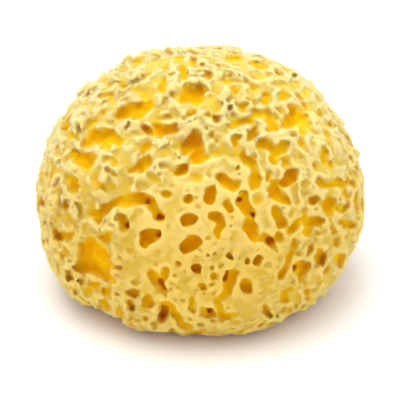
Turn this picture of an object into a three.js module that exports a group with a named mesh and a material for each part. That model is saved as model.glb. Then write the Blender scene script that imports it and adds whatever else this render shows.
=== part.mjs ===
// A natural honeycomb bath sponge, cut off flat where it grew on the rock.
// Millimetres, +Z up. The origin is the middle of the flat cut, and the front faces -Y.
//
// The body is star-shaped about its middle: each direction from there has one radius, which is the
// body's own less the depth of the pore in that direction. Points are set out as directions, joined by
// a triangulation of the sphere, and then moved out to their radii, so the solid is always closed.
import * as THREE from 'three';
import { ConvexHull } from 'three/addons/math/ConvexHull.js';

// The body: a flattened ball with its lower part cut away
const WIDTH = 130;
const DEPTH = 126;
const CROWN_RISE = 59; // from the middle to the top
const MIDDLE = new THREE.Vector3(0, 0, 37); // the ball's middle, above the cut
const CUT_EDGE_ROUND = 12; // how softly the side turns under to the cut
const LUMP_HEIGHT = 0.9;

// The view that the front pores are placed in, from the front and a little above
const VIEW_ELEVATION = THREE.MathUtils.degToRad(29);
const VIEW_DISTANCE = 600;

// Pores: depth as a share of the radius, and how far apart the points are set
const PIT_DEPTH = 1.6;
const DIMPLE_DEPTH = 0.6;
const CANAL_DEPTH = 2.8;
const RIM_WIDENING = 1.15; // a pore's mouth, against the hole seen in it
const SMALLEST_PIT = 1.15; // finer pores are left to the surface finish
const SMALLEST_DIMPLE = 1.4;
const FRILL_HEIGHT = 1.6; // torn skin standing up around the pores of the ragged side
const SKIN_BUMP = 1.2;

// How finely the surface is set out
const HOLE_SPACING = 0.9; // of a pore's chain, as a share of the radius
const RIM_SHARE = 1.03; // a rim's ring, just outside the hole
const FINEST_RIM_STEP = 1.25;
const WIDEST_RIM_STEP = 2.5;
const WALL_SHARE = 0.66; // a wall's ring, inside the hole
const WALL_RING_FROM = 2.3; // pores of this radius and over get a ring on their wall
const SKIN_STEP = 4.4;
const SKIN_POINTS = 2600;

// Pores where the view doesn't reach, and under the cut
const FAR_PORES = 330;
const FAR_PORE_RADIUS = [1.7, 4];
const FAR_FACING = 0.42; // the far zone starts where the skin turns this much away
const PORE_WALL = 0.8; // the least skin between a far pore and one in view
const FLAT_PAD = 9; // radius around the origin that is kept whole, to rest and mount on
const PAD_CORNER = 7;

const SKIN_COLOUR = 0xf2d372;

// A pore is a chain of round holes, each [right, up, radius] from the middle in the view
const pore = (depth) => (...holes) => ({ depth, holes });
const pit = pore(PIT_DEPTH);
const dimple = pore(DIMPLE_DEPTH);
const canal = pore(CANAL_DEPTH);

const FRONT_PORES = [
  // Top left
  pit([-31.3, 43.1, 1.6]),
  pit([-40.5, 39, 0.8], [-37, 40, 1.2], [-36, 37.5, 1.1]),
  dimple([-44.3, 35, 1.8]),
  dimple([-46.9, 31.5, 1.4]),
  pit([-54.3, 27.1, 2.3]),
  dimple([-52.7, 31.4, 1]),
  dimple([-33.3, 47.7, 0.9]),
  pit([-31.5, 31.8, 2.2], [-26.5, 33.5, 3.2], [-21.5, 36, 2.2], [-20.5, 38.5, 1.2]),
  pit([-24.2, 29.8, 1.4]),
  pit([-16.2, 46, 1.3], [-16.4, 43.8, 1.6]),
  pit([-14.2, 51.1, 1.5]),
  dimple([-19.3, 52.5, 2.6]),
  pit([-7.4, 51, 1.8], [-6.8, 48, 1.8], [-8.8, 46.3, 0.9]),
  pit([-2.3, 53.2, 1.6]),
  dimple([-7.9, 56, 1.2]),
  dimple([-12.5, 56, 1.2]),
  pit([-12.1, 41, 0.9], [-9, 39.7, 1.3], [-5.5, 40.8, 3], [-2.3, 41, 3.2], [-1.3, 38, 1.6]),
  pit([-23.2, 47.9, 0.9]),
  pit([-25.9, 45.4, 0.6]),
  pit([-28.7, 40.5, 0.8], [-26, 42, 0.8], [-23.5, 40, 0.9]),
  pit([-18.8, 29.5, 1.2], [-16.5, 31.5, 1.6], [-13.5, 32, 1.4]),
  pit([-2.8, 29, 0.7]),
  dimple([-10.7, 33, 2]),
  // Top right
  pit([0.1, 47.6, 0.5], [3.5, 47.5, 1.9]),
  dimple([1.9, 51.6, 0.8]),
  dimple([5.4, 42.4, 2.2]),
  pit([2.4, 40.5, 0.5]),
  dimple([4.2, 35.9, 3.2]),
  canal([2.6, 31.5, 1.3]),
  canal([6, 30.3, 1.7]),
  pit([8.4, 37.3, 0.6]),
  pit([11.2, 38.2, 1.1]),
  pit([16.2, 35.2, 1.5]),
  pit([11, 54.3, 1.2], [14, 55.5, 1.8], [16.5, 54.8, 1]),
  pit([20, 52.8, 1.5], [23, 52, 1.5]),
  dimple([10.9, 47.4, 1.4]),
  dimple([16, 51.4, 0.7], [19, 47.4, 0.7]),
  dimple([18.5, 41.4, 1.1]),
  pit([26.5, 39.8, 1.4], [25.5, 37.2, 1.9]),
  pit([29, 44, 1.1], [33, 44.6, 1.2]),
  pit([31.5, 39, 1.1], [34.3, 39.5, 1.6], [33.3, 41.5, 1.3]),
  pit([12, 27.8, 1.3], [16, 28.8, 1.5], [19.5, 30, 1.4], [21.5, 32.3, 1.4], [25.5, 32.4, 1.5],
      [28.3, 29.5, 1.8], [29.5, 27.5, 2]),
  pit([37.8, 34.5, 2], [37.3, 31, 3], [33.3, 27.6, 1.3]),
  pit([37.3, 31, 2.8], [41, 30.5, 1.9], [40.8, 27, 1.4], [40, 24.5, 1]),
  pit([41.5, 29.5, 1.5], [44, 26.5, 1], [45.8, 24.8, 0.7]),
  pit([39.8, 22.5, 0.9], [39.2, 20.5, 1.2]),
  pit([45.3, 33, 0.9], [47, 31.8, 1.2], [48.8, 33.5, 0.9]),
  pit([52.8, 29.1, 1.6]),
  dimple([51.9, 34.2, 1.4]),
  dimple([42.5, 41.1, 1.8]),
  dimple([36.5, 47.3, 1]),
  dimple([47, 38.3, 0.8]),
  dimple([54.2, 21.9, 0.8]),
  // Left, middle height
  pit([-45.5, 20.5, 1.8], [-42, 23.5, 3.2], [-37, 23.8, 2.4], [-33, 22, 1.6]),
  pit([-42.3, 26, 1.8]),
  pit([-39.5, 20.5, 1.8], [-36.3, 18, 1.5], [-36, 16.3, 0.8]),
  pit([-49.5, 15.5, 2.6], [-46.5, 13.8, 3], [-42.5, 13.8, 1.6]),
  pit([-46, 11, 1.6]),
  pit([-53.3, 7, 1.5], [-51.8, 5.5, 2.2], [-51.2, 3, 1.8]),
  canal([-48.5, 5.5, 0.6], [-47.9, 4.3, 0.7]),
  pit([-42.7, 8.5, 0.9], [-42.2, 5.5, 1.4], [-40.5, 3.2, 0.9], [-38.3, 2.6, 0.7]),
  pit([-35.4, 2.5, 0.9]),
  pit([-50, 22.6, 1.1]),
  dimple([-57, 17.3, 1]),
  dimple([-56.4, 12.5, 1]),
  dimple([-58, 8.3, 0.6]),
  dimple([-62.4, 4.6, 1]),
  dimple([-57.3, 3, 1]),
  dimple([-62.6, -2.3, 2.2]),
  dimple([-59.9, -3.7, 1.2]),
  pit([-54.2, -2.5, 1], [-54.6, -5, 1.3]),
  pit([-49.7, -3.5, 1], [-49, -5.5, 1.1], [-48.3, -8, 0.8]),
  dimple([-48.8, -0.7, 1]),
  pit([-44.6, 0, 0.6], [-44, -4, 0.9], [-43.5, -7.5, 1.4], [-41.8, -9, 1.8], [-39, -6.5, 2],
      [-36.8, -4.7, 1.9], [-33, -3, 1.7], [-29, -2.6, 1.9], [-24.5, -1.5, 2.4], [-20.5, -3, 2.2],
      [-18.8, -6.5, 1.6], [-17, -9.3, 1.8]),
  canal([-21.7, -2.6, 1.2]),
  canal([-17, -9.6, 1.3]),
  // Centre, upper half
  canal([-24, 26.5, 1], [-22.3, 25.2, 1.9], [-21, 24, 1.3]),
  pit([-18.3, 28.5, 1.3], [-17, 25, 2.7], [-13, 25.5, 1.8], [-11.7, 26.3, 2.1]),
  pit([-23.1, 21.5, 0.7]),
  pit([-23.7, 18.5, 1.8]),
  pit([-22.8, 12.8, 2], [-25, 11.7, 1.8], [-27.5, 9.3, 1.1]),
  dimple([-20.5, 7.8, 1.6], [-18.5, 6.5, 1.6]),
  dimple([-24, 3.5, 1.8]),
  pit([-16.8, 4.3, 0.35]),
  pit([-15.5, 0.7, 1], [-13.6, 0, 1.2]),
  pit([-9, 9.5, 1.8], [-6.8, 10.6, 2.2]),
  pit([-12, 9.9, 0.8]),
  pit([-6.5, 18.5, 2], [-3.5, 21.5, 3], [-1, 18.5, 2], [-1.5, 15.3, 2.6], [1.5, 14.8, 1.4]),
  pit([-4, 12.6, 1]),
  pit([-8.9, 15.2, 0.7]),
  dimple([-14.9, 12.2, 1.5]),
  dimple([-16.8, 16.4, 1.6], [-14.5, 18.7, 1.4]),
  dimple([-11.5, 16.6, 1.2]),
  pit([-4.8, -2.1, 1.6]),
  dimple([-4.8, 1.6, 0.5]),
  dimple([-1.3, -5, 0.8]),
  dimple([-29, 21.2, 1.4]),
  dimple([-32.9, 15.5, 0.8]),
  pit([9.9, 24.7, 0.8]),
  pit([4.1, 23.5, 1.4]),
  pit([14.3, 21.9, 1.9]),
  pit([22.3, 24.5, 1.9], [20, 22.8, 1.7]),
  pit([21.7, 21.1, 0.4]),
  dimple([6.8, 16.8, 1.3], [10, 17.8, 1.6]),
  dimple([4.4, 18.5, 0.9]),
  pit([24.5, 19.8, 1.7], [27.5, 20.3, 1.9], [29.5, 17.5, 1.7], [29.2, 13, 1.4]),
  pit([29.8, 16, 1.6], [32.3, 18.5, 1.5], [34.5, 20.5, 1]),
  pit([17.3, 15.3, 1.8], [19.8, 12.8, 1.7], [21.2, 9.5, 1.1], [21.5, 6, 1.7], [20.8, 3, 1.5]),
  pit([21.4, 15.5, 1.1]),
  pit([14.5, 10.8, 0.9]),
  pit([7.8, 6.8, 2], [10.5, 4.3, 1.9], [13.5, 3, 1.8], [15, 4.8, 1]),
  pit([3.7, 0.8, 2.3], [3.7, -1.8, 2.3]),
  pit([10.8, -3.5, 1.5], [11.8, -6.3, 1.5]),
  pit([27, 8.8, 1], [26.5, 6.5, 1.3]),
  pit([30, 4.5, 2], [29.5, 1, 2.5], [33.5, -1.5, 1.7], [34.5, -2.7, 1.2]),
  pit([26.5, 2.3, 0.9]),
  dimple([22.6, -2.3, 2]),
  dimple([-2.3, 6.5, 2]),
  // Right, middle height
  canal([36.8, 9.3, 1.6], [35.3, 7.2, 2.6], [34, 5.5, 1.9]),
  pit([48.8, 19.5, 1], [49.3, 16.5, 1.4], [48.8, 13.5, 1.3]),
  pit([47, 14.9, 0.7]),
  pit([51.5, 13, 1.2], [52, 10.8, 0.9]),
  dimple([53.5, 13.3, 1], [57.5, 12.8, 1]),
  dimple([57.4, 16.8, 1]),
  pit([47.5, 5.5, 1.6], [51, 4.5, 1.6], [54.3, 5.3, 1.4], [56.8, 3.5, 1.5]),
  pit([51.6, 3, 0.9]),
  pit([37.6, 4, 0.6], [37.5, 2, 0.7], [38, -1, 0.5], [38.7, -4, 0.5]),
  pit([41, -0.3, 0.9]),
  canal([44, -3, 1.1], [45.8, -2.2, 1.6]),
  dimple([41.4, 4.3, 1.5]),
  pit([57.5, 0, 1.2], [60.2, -0.5, 1]),
  pit([52, -2, 1.9], [51.3, -5, 2.4], [52, -7.5, 1.6]),
  pit([49, -4.5, 1.5]),
  pit([55.5, -6.5, 1.5], [57.5, -4.8, 1.2], [59, -4.3, 0.9]),
  pit([59.7, -2.6, 0.9]),
  pit([41.8, -5.8, 0.9], [42, -8, 1.1]),
  pit([29.9, -6, 1.5], [30.8, -9, 1.8], [32.5, -12, 2.2]),
  dimple([35.8, -7.2, 1.2]),
  // Left, lower half
  pit([-32.2, -10.5, 2.1], [-31, -12.5, 1.9], [-31.5, -15, 1]),
  canal([-30.3, -13, 1.2]),
  pit([-49.8, -13.3, 0.8]),
  pit([-57.5, -13.3, 1.1], [-56, -17, 2], [-53.3, -17, 1.9]),
  pit([-43.5, -18.8, 2.4], [-45.5, -23, 3.4], [-46, -27.5, 3.4], [-41.5, -29.5, 2.6],
      [-37.5, -31.5, 2.6], [-34.3, -34, 1.4]),
  pit([-50, -29, 1.5], [-46, -28, 2.5]),
  canal([-34.9, -27.5, 1], [-32.7, -28.6, 1.2]),
  pit([-38.5, -16, 1.6], [-38, -18.5, 1.6]),
  pit([-53, -31.8, 1.2], [-52.5, -33.8, 1.4]),
  dimple([-55.8, -27, 1.2]),
  pit([-53, -26.5, 0.6]),
  // Centre, lower half
  pit([-21.5, -17, 2.9], [-18, -16.5, 2.1]),
  pit([-22.8, -19, 2.1]),
  canal([-17.4, -16.8, 0.9]),
  pit([-6.2, -10.5, 2.2], [-3.8, -9.8, 2.2]),
  pit([-5.6, -12.6, 0.8]),
  pit([-6.3, -20.7, 2.5], [-2.2, -19, 2.4]),
  canal([-1.9, -30.2, 1.8]),
  pit([-20, -32, 1.6], [-18, -34.5, 1.8], [-15.5, -37.5, 1.5], [-14.3, -39, 0.9]),
  pit([-14.3, -30.3, 1.3], [-14.8, -33, 1.5], [-16.5, -35, 1.4]),
  canal([-17, -35.2, 0.7], [-14.6, -38.2, 0.7]),
  pit([-9.2, -27.6, 1.1]),
  pit([-10.7, -32.2, 0.6]),
  pit([-8.6, -35, 0.5]),
  pit([-7, -34.8, 0.5]),
  pit([-5.6, -34.3, 0.5]),
  pit([-8.8, -36.6, 0.4]),
  dimple([-28.7, -22.3, 1.2]),
  dimple([-25.9, -34.5, 1.5]),
  dimple([-26.6, -9.2, 1.3]),
  pit([16.8, 0, 1.6], [16.5, -3, 2], [18.5, -6.5, 2], [20.5, -8.8, 1.6]),
  canal([15.9, -2.2, 1]),
  canal([21.1, -8.2, 0.8]),
  pit([19.5, -10, 1.3], [20, -12.5, 2.3], [20.5, -15, 2.2], [21.7, -18, 1.2]),
  pit([4.3, -8.8, 1.7], [6.5, -9.3, 2.1], [7.8, -12, 1.7], [6.8, -15, 1.3], [6.5, -17.5, 0.8]),
  pit([11.8, -12.8, 0.6]),
  canal([11.6, -25.1, 1.2]),
  canal([18.3, -27.2, 1]),
  canal([23.3, -25.5, 1.3], [22.3, -27.3, 1.4]),
  pit([23.7, -17.5, 1.3], [25.3, -16.5, 1.5], [27.8, -18.5, 2], [29, -20.8, 1.3]),
  pit([31.5, -17, 1.8]),
  canal([28, -18.7, 1.6]),
  pit([2.2, -17.5, 0.6]),
  pit([2.4, -24.2, 0.7]),
  pit([5.4, -23.7, 0.8]),
  pit([4.5, -29.5, 0.9]),
  pit([7.9, -28.8, 0.8]),
  pit([5.2, -32.9, 1.2]),
  pit([4.2, -36.4, 0.7]),
  pit([0.5, -36.8, 1.4]),
  pit([13.3, -31.5, 1.9], [11.8, -34, 2.3], [11, -37.5, 1.7], [10.3, -40, 1.1], [8.2, -41.5, 1.3]),
  canal([10.3, -31.8, 0.9], [9.6, -35, 0.9]),
  canal([18.4, -36.8, 2.5]),
  dimple([26.6, -28.5, 1.2]),
  dimple([31.5, -26, 1]),
  // Right, lower half
  pit([35.8, -15.3, 1.3], [38, -12.8, 1.7], [40.5, -11.2, 1.1], [43, -11.2, 1.5], [46.5, -10.8, 2]),
  pit([41.8, -15.5, 1.1], [44, -13.8, 1.4]),
  pit([46.6, -15.8, 1]),
  pit([52.3, -13.5, 1.4], [53.2, -15.8, 1]),
  pit([55.2, -18.3, 1.1], [54.5, -20.3, 0.9]),
  dimple([50.3, -18.6, 1.4]),
  pit([58, -12, 1.9], [61, -12.3, 1.3]),
  dimple([58.4, -8.9, 1.5]),
  pit([37.5, -19.8, 1.5], [36.8, -23, 1.3], [35.2, -26, 1.2], [34.5, -29, 1.1], [32.3, -32, 1.6]),
  pit([44.3, -20.8, 1.4], [43.3, -22.3, 1.1]),
  pit([48.2, -23.5, 1.6], [48, -26, 2.1], [47.2, -28.5, 1]),
  pit([39.3, -28.8, 2], [42, -28.5, 2.4], [41, -31.5, 2], [40.7, -34.3, 1.2]),
  canal([38.8, -29.5, 1.2]),
  dimple([36.9, -33, 0.9]),
  pit([56, -25, 1.6], [55.5, -27.5, 1.5]),
  dimple([51.7, -34.3, 1.6]),
  dimple([47, -34.3, 1.8]),
  dimple([60.2, -20, 1.2]),
  // Along the cut
  pit([-50.8, -36.5, 0.8], [-49.8, -38.5, 0.7]),
  pit([-48, -34, 0.8], [-47, -36, 0.8]),
  pit([-46, -38.3, 1.3], [-44.8, -39.8, 1.1]),
  pit([-42.8, -35.8, 1.4], [-41.8, -37.8, 1.1]),
  pit([-38.3, -38.5, 1.9], [-38, -40.8, 1.2]),
  pit([-39.8, -42.8, 1.3], [-38.8, -44.8, 1.6]),
  pit([-44, -44.9, 0.8]),
  pit([-33.3, -46, 1.2], [-32.5, -48.5, 1.3]),
  pit([-33, -50.5, 1.5]),
  pit([-28.3, -39, 1.5], [-26.2, -40, 1.6]),
  canal([-28.3, -44.4, 1.8]),
  dimple([-27.3, -48.5, 1.6]),
  pit([-21.3, -42, 1.8], [-20.8, -44, 1.7]),
  pit([-21.5, -49.2, 1]),
  pit([-3.2, -42.3, 1.1], [-3.5, -44.5, 1.2], [-4, -46.2, 1.2]),
  pit([-15, -45.5, 2.2], [-12.5, -45.8, 2.2], [-11, -48, 1.6], [-9, -50, 1.3], [-7, -52.6, 1.5],
      [-3.9, -53.8, 1.3]),
  canal([-15.5, -47.5, 1.7], [-15.8, -50.5, 1.6]),
  pit([-18.5, -52.6, 1.2]),
  pit([-11.8, -54.4, 1.2]),
  pit([1, -47, 1.6], [3.5, -47.8, 2]),
  canal([3.2, -47.2, 1.3]),
  pit([7, -42.5, 1.3], [7.6, -45.5, 1.5], [9, -49, 1.9], [11.8, -49, 1.2], [14, -47.6, 0.7]),
  pit([36, -37.8, 1], [33.3, -39, 1.3], [33.9, -42, 1.2]),
  dimple([37, -41, 2]),
  pit([26, -45.3, 1.4], [27.2, -48, 1.3]),
  dimple([38.3, -42.7, 1.5]),
  pit([37.8, -44.7, 0.9]),
  pit([42.4, -38.8, 1.4]),
  pit([43.1, -41.1, 0.8]),
  dimple([45.7, -33.7, 1.5]),
  pit([30.6, -48.3, 0.7]),
];

// Where the outline swells or sinks, in the view: [right, up, height, spread]
const SWELLINGS = [
  [-52, -38, 2.6, 20],
  [-29, 52, -3.5, 6],
  [-45, 45, -2.4, 6],
  [57, 27, -1.6, 16],
  [47, -44, 1.2, 14],
];

// The skin is whole and smooth low on the front, and torn into frills elsewhere, most at the upper left
const SMOOTH_SPOT = [3, -22];
const RAGGED_SPOT = [-36, 36];

const up = new THREE.Vector3(0, Math.sin(VIEW_ELEVATION), Math.cos(VIEW_ELEVATION));
const towardsEye = new THREE.Vector3(0, -Math.cos(VIEW_ELEVATION), Math.sin(VIEW_ELEVATION));
const halfSizes = new THREE.Vector3(WIDTH / 2, DEPTH / 2, CROWN_RISE);

// The direction from the middle in which the view's point [right, up] meets the plain ball
function viewDirection(right, above) {
  const target = new THREE.Vector3(right, 0, 0).addScaledVector(up, above);
  const eye = towardsEye.clone().multiplyScalar(VIEW_DISTANCE);
  const ray = target.clone().sub(eye).divide(halfSizes);
  const start = eye.clone().divide(halfSizes);
  const a = ray.lengthSq();
  const b = start.dot(ray);
  const c = start.lengthSq() - 1;
  const reach = Math.max(b * b - a * c, 0);
  const hit = start.addScaledVector(ray, (-b - Math.sqrt(reach)) / a);
  hit.multiply(halfSizes);
  const lowest = 3 - MIDDLE.z;
  if (hit.z < lowest) {
    hit.z = lowest;
  }
  return hit.normalize();
}

const swellings = SWELLINGS.map(([right, above, height, spread]) => {
  const dir = viewDirection(right, above);
  return { dir, height, spread: (2 * spread) / WIDTH };
});

function smoothMin(a, b, width) {
  const h = Math.max(width - Math.abs(a - b), 0) / width;
  return Math.min(a, b) - (h * h * width) / 4;
}

// Radius of the body without its pores
function bodyRadius(dir) {
  let radius = 1 / dir.clone().divide(halfSizes).length();
  const waves = Math.sin(5.1 * dir.x + 1.3) * Math.sin(4.3 * dir.y + 0.4) * Math.sin(4.7 * dir.z);
  radius += LUMP_HEIGHT * waves;
  for (const lump of swellings) {
    const away = dir.distanceTo(lump.dir) / lump.spread;
    radius += lump.height * Math.exp(-away * away);
  }
  if (dir.z >= 0) {
    return radius;
  }
  return smoothMin(radius, MIDDLE.z / -dir.z, CUT_EDGE_ROUND);
}

const onBody = (dir) => dir.clone().multiplyScalar(bodyRadius(dir));

// A number from 0 to 1 that looks random and is the same each time
function chance(index, salt) {
  const value = Math.sin(12.9898 * index + 78.233 * salt) * 43758.5453;
  return value - Math.floor(value);
}

// Evenly spread directions: a spiral with the golden angle between its points
function spiralDirection(index, count) {
  const z = 1 - (2 * index + 1) / count;
  const turn = index * Math.PI * (3 - Math.sqrt(5));
  const across = Math.sqrt(1 - z * z);
  return new THREE.Vector3(across * Math.cos(turn), across * Math.sin(turn), z);
}

// How squarely the body faces the eye at a point, from 1 to 0 on the outline
function facing(point) {
  return point.clone().divide(halfSizes).divide(halfSizes).normalize().dot(towardsEye);
}

const underCut = (point) => point.z < 2 - MIDDLE.z;
const onPad = (point, margin) => underCut(point) && Math.hypot(point.x, point.y) < FLAT_PAD + margin;

// Where a point of the body is seen, as [right, up]
function seenAt(point) {
  const nearer = VIEW_DISTANCE / (VIEW_DISTANCE - point.dot(towardsEye));
  return [point.x * nearer, point.dot(up) * nearer];
}

// A hole in view, whose outline is round as it is seen
function frontHole(right, above, radius, depth) {
  const centre = onBody(viewDirection(right, above));
  const nearer = 1 - centre.dot(towardsEye) / VIEW_DISTANCE;
  const size = radius * nearer * RIM_WIDENING;
  return { centre, radius: size, depth: depth * size, share: depth, seen: [right, above, radius] };
}

const frontPores = FRONT_PORES.map(({ depth, holes }) => (
  holes.map(([right, above, radius]) => frontHole(right, above, radius, depth))
));
const frontList = frontPores.flat();

// Whether a far pore's hole may stand here: out of view, or clear of every pore in view
function hasRoom(point, radius) {
  if (onPad(point, radius)) {
    return false;
  }
  if (!underCut(point) && facing(point) > FAR_FACING) {
    return false;
  }
  return frontList.every((hole) => {
    const stretched = hole.radius / Math.max(facing(hole.centre), 0.4);
    return point.distanceTo(hole.centre) > radius + stretched + PORE_WALL;
  });
}

// Two directions across the body at a point
function tangents(point) {
  const outward = point.clone().normalize();
  const pole = Math.abs(outward.z) > 0.9 ? new THREE.Vector3(1, 0, 0) : new THREE.Vector3(0, 0, 1);
  const east = pole.cross(outward).normalize();
  return [east, outward.cross(east)];
}

// A wandering chain of one to four holes, started at each point of the spiral out of view
function farHoles(index) {
  const dir = spiralDirection(index, FAR_PORES);
  let point = onBody(dir);
  const [least, most] = FAR_PORE_RADIUS;
  const kind = chance(index, 1);
  const depth = kind < 0.2 ? DIMPLE_DEPTH : kind > 0.85 ? CANAL_DEPTH : PIT_DEPTH;
  const count = kind > 0.85 ? 1 : 1 + Math.floor(3.6 * chance(index, 2) ** 1.5);
  let heading = 2 * Math.PI * chance(index, 3);
  const holes = [];
  for (let step = 0; step < count; step += 1) {
    const radius = least + (most - least) * chance(index, 4 + step) ** 2;
    if (!hasRoom(point, radius)) {
      break;
    }
    holes.push({ centre: point, radius, depth: depth * radius });
    heading += 1.8 * (chance(index, 8 + step) - 0.5);
    const [east, north] = tangents(point);
    const next = point.clone().addScaledVector(east, 1.5 * radius * Math.cos(heading));
    next.addScaledVector(north, 1.5 * radius * Math.sin(heading));
    point = onBody(next.normalize());
  }
  return holes;
}

// A pore's chain of holes with the gaps between them filled in
function closeUp(holes) {
  const chain = [];
  holes.forEach((hole, place) => {
    chain.push(hole);
    const next = holes[place + 1];
    if (!next) {
      return;
    }
    const spacing = HOLE_SPACING * Math.max(hole.radius, next.radius);
    const steps = Math.ceil(hole.centre.distanceTo(next.centre) / spacing);
    for (let step = 1; step < steps; step += 1) {
      const share = step / steps;
      if (hole.seen) {
        const [right, above, radius] = hole.seen.map((value, k) => (
          THREE.MathUtils.lerp(value, next.seen[k], share)
        ));
        chain.push(frontHole(right, above, radius, hole.share));
      } else {
        const centre = onBody(hole.centre.clone().lerp(next.centre, share).normalize());
        const radius = THREE.MathUtils.lerp(hole.radius, next.radius, share);
        chain.push({ centre, radius, depth: THREE.MathUtils.lerp(hole.depth, next.depth, share) });
      }
    }
  });
  return chain;
}

// Pores too fine for the solid are left out
function isWide(listed) {
  const smallest = listed.depth === DIMPLE_DEPTH ? SMALLEST_DIMPLE : SMALLEST_PIT;
  return listed.holes.some(([, , radius]) => radius >= smallest);
}

const pores = frontPores.filter((chain, index) => isWide(FRONT_PORES[index]));
for (let index = 0; index < FAR_PORES; index += 1) {
  pores.push(farHoles(index));
}
const holes = pores.flatMap(closeUp);

// How far a point of the body lies from a hole's middle, as a share of its radius
function shareAway(hole, point, place) {
  if (!hole.seen) {
    return point.distanceTo(hole.centre) / hole.radius;
  }
  if (point.distanceTo(hole.centre) > 3 * hole.radius) {
    return Infinity;
  }
  const [right, above, radius] = hole.seen;
  return Math.hypot(place[0] - right, place[1] - above) / (radius * RIM_WIDENING);
}

// Depth of the pores below a point on the body
function poreDepth(point) {
  let deepest = 0;
  const place = seenAt(point);
  for (const hole of holes) {
    const away = shareAway(hole, point, place);
    if (away < 1) {
      deepest = Math.max(deepest, hole.depth * Math.sqrt(1 - away * away));
    }
  }
  return deepest;
}

// How torn the skin is in a direction, from 0 to 1
const smoothSide = viewDirection(...SMOOTH_SPOT);
const raggedSide = viewDirection(...RAGGED_SPOT);
function raggedness(dir) {
  const torn = 1 - THREE.MathUtils.smoothstep(dir.dot(smoothSide), 0.72, 0.97);
  return torn * (0.5 + 0.5 * THREE.MathUtils.smoothstep(dir.dot(raggedSide), 0.2, 0.95));
}

const corners = [];

// Adds a corner of the surface, unless another is within the gap
function addCorner(dir, gap, depth, lift = 0) {
  const surface = onBody(dir);
  if (corners.some((corner) => corner.surface.distanceToSquared(surface) < gap * gap)) {
    return;
  }
  const place = surface.clone().setLength(surface.length() - depth + lift);
  place.add(MIDDLE);
  corners.push({ dir, surface, place });
}

// Directions around a hole at a share of its radius
function ringAround(hole, share, step) {
  if (hole.seen) {
    return ringInView(hole.seen, share, step);
  }
  const [east, north] = tangents(hole.centre);
  const reach = share * hole.radius;
  const count = Math.max(5, Math.round((2 * Math.PI * reach) / step));
  const ring = [];
  for (let place = 0; place < count; place += 1) {
    const angle = (2 * Math.PI * (place + hole.radius)) / count;
    const point = hole.centre.clone().addScaledVector(east, reach * Math.cos(angle));
    point.addScaledVector(north, reach * Math.sin(angle));
    ring.push(point.normalize());
  }
  return ring;
}

function ringInView([right, above, radius], share, step) {
  const reach = share * radius * RIM_WIDENING;
  const count = Math.max(5, Math.round((2 * Math.PI * reach) / step));
  const ring = [];
  for (let place = 0; place < count; place += 1) {
    const angle = (2 * Math.PI * (place + radius)) / count;
    ring.push(viewDirection(right + reach * Math.cos(angle), above + reach * Math.sin(angle)));
  }
  return ring;
}

// The pad: one large triangle around the origin, in a wider ring
for (let corner = 0; corner < 3; corner += 1) {
  const angle = (2 * Math.PI * corner) / 3;
  const point = new THREE.Vector3(PAD_CORNER * Math.cos(angle), PAD_CORNER * Math.sin(angle), -MIDDLE.z);
  addCorner(point.normalize(), 0, 0);
}

// Floors of the pores
for (const hole of holes) {
  const dir = hole.centre.clone().normalize();
  addCorner(dir, 0.75 * hole.radius, poreDepth(hole.centre));
}

// Rims, left out where one hole runs into another
for (const hole of holes) {
  const step = THREE.MathUtils.clamp(hole.radius, FINEST_RIM_STEP, WIDEST_RIM_STEP);
  for (const dir of ringAround(hole, RIM_SHARE, step)) {
    const surface = onBody(dir);
    const depth = poreDepth(surface);
    if (depth < 0.25 * hole.depth && !onPad(surface, 0)) {
      const torn = raggedness(dir) * (chance(surface.x, surface.y) - 0.3);
      const lift = underCut(surface) ? 0 : FRILL_HEIGHT * torn;
      addCorner(dir, 0.8 * step, depth, lift);
    }
  }
}

// Walls of the wider pores
for (const hole of holes) {
  if (hole.radius >= WALL_RING_FROM) {
    for (const dir of ringAround(hole, WALL_SHARE, 0.8 * hole.radius)) {
      addCorner(dir, 0.5 * hole.radius, poreDepth(onBody(dir)));
    }
  }
}

// Skin between the pores
for (let index = 0; index < SKIN_POINTS; index += 1) {
  const dir = spiralDirection(index, SKIN_POINTS);
  const surface = onBody(dir);
  const depth = poreDepth(surface);
  if (!onPad(surface, 0) && depth === 0) {
    const bump = underCut(surface) ? 0 : SKIN_BUMP * (0.25 + raggedness(dir)) * (chance(index, 5) - 0.4);
    addCorner(dir, SKIN_STEP, 0, bump);
  }
}

// Joins the corners by the hull of their directions, and moves each out to its place
function spongeGeometry() {
  const numbers = new Map(corners.map((corner, index) => [corner.dir, index]));
  const hull = new ConvexHull().setFromPoints(corners.map((corner) => corner.dir));
  const triangles = [];
  for (const face of hull.faces) {
    const first = face.edge;
    triangles.push(numbers.get(first.head().point));
    triangles.push(numbers.get(first.next.head().point));
    triangles.push(numbers.get(first.next.next.head().point));
  }
  const positions = corners.flatMap((corner) => {
    const onCut = Math.abs(corner.place.z) < 1e-6;
    return [corner.place.x, corner.place.y, onCut ? 0 : corner.place.z];
  });
  const geometry = new THREE.BufferGeometry();
  geometry.setAttribute('position', new THREE.Float32BufferAttribute(positions, 3));
  geometry.setIndex(triangles);
  geometry.computeVertexNormals();
  return geometry;
}

const skin = new THREE.MeshStandardMaterial({ color: SKIN_COLOUR, roughness: 0.95, metalness: 0 });
const sponge = new THREE.Mesh(spongeGeometry(), skin);
sponge.name = 'sponge';

const seaSponge = new THREE.Group();
seaSponge.name = 'sea_sponge';
seaSponge.add(sponge);

export default seaSponge;
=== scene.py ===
"""A natural honeycomb bath sponge, cut off flat where it grew on the rock.

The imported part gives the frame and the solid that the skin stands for. This script grows that skin:
body, pores and torn frills are a field of distances on a grid, and the skin is the surface where
the field is zero. Fine fibres lie and stand on it. Lengths in the lists are millimetres, and
Blender's are metres.
"""
import math
from typing import NamedTuple

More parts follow.
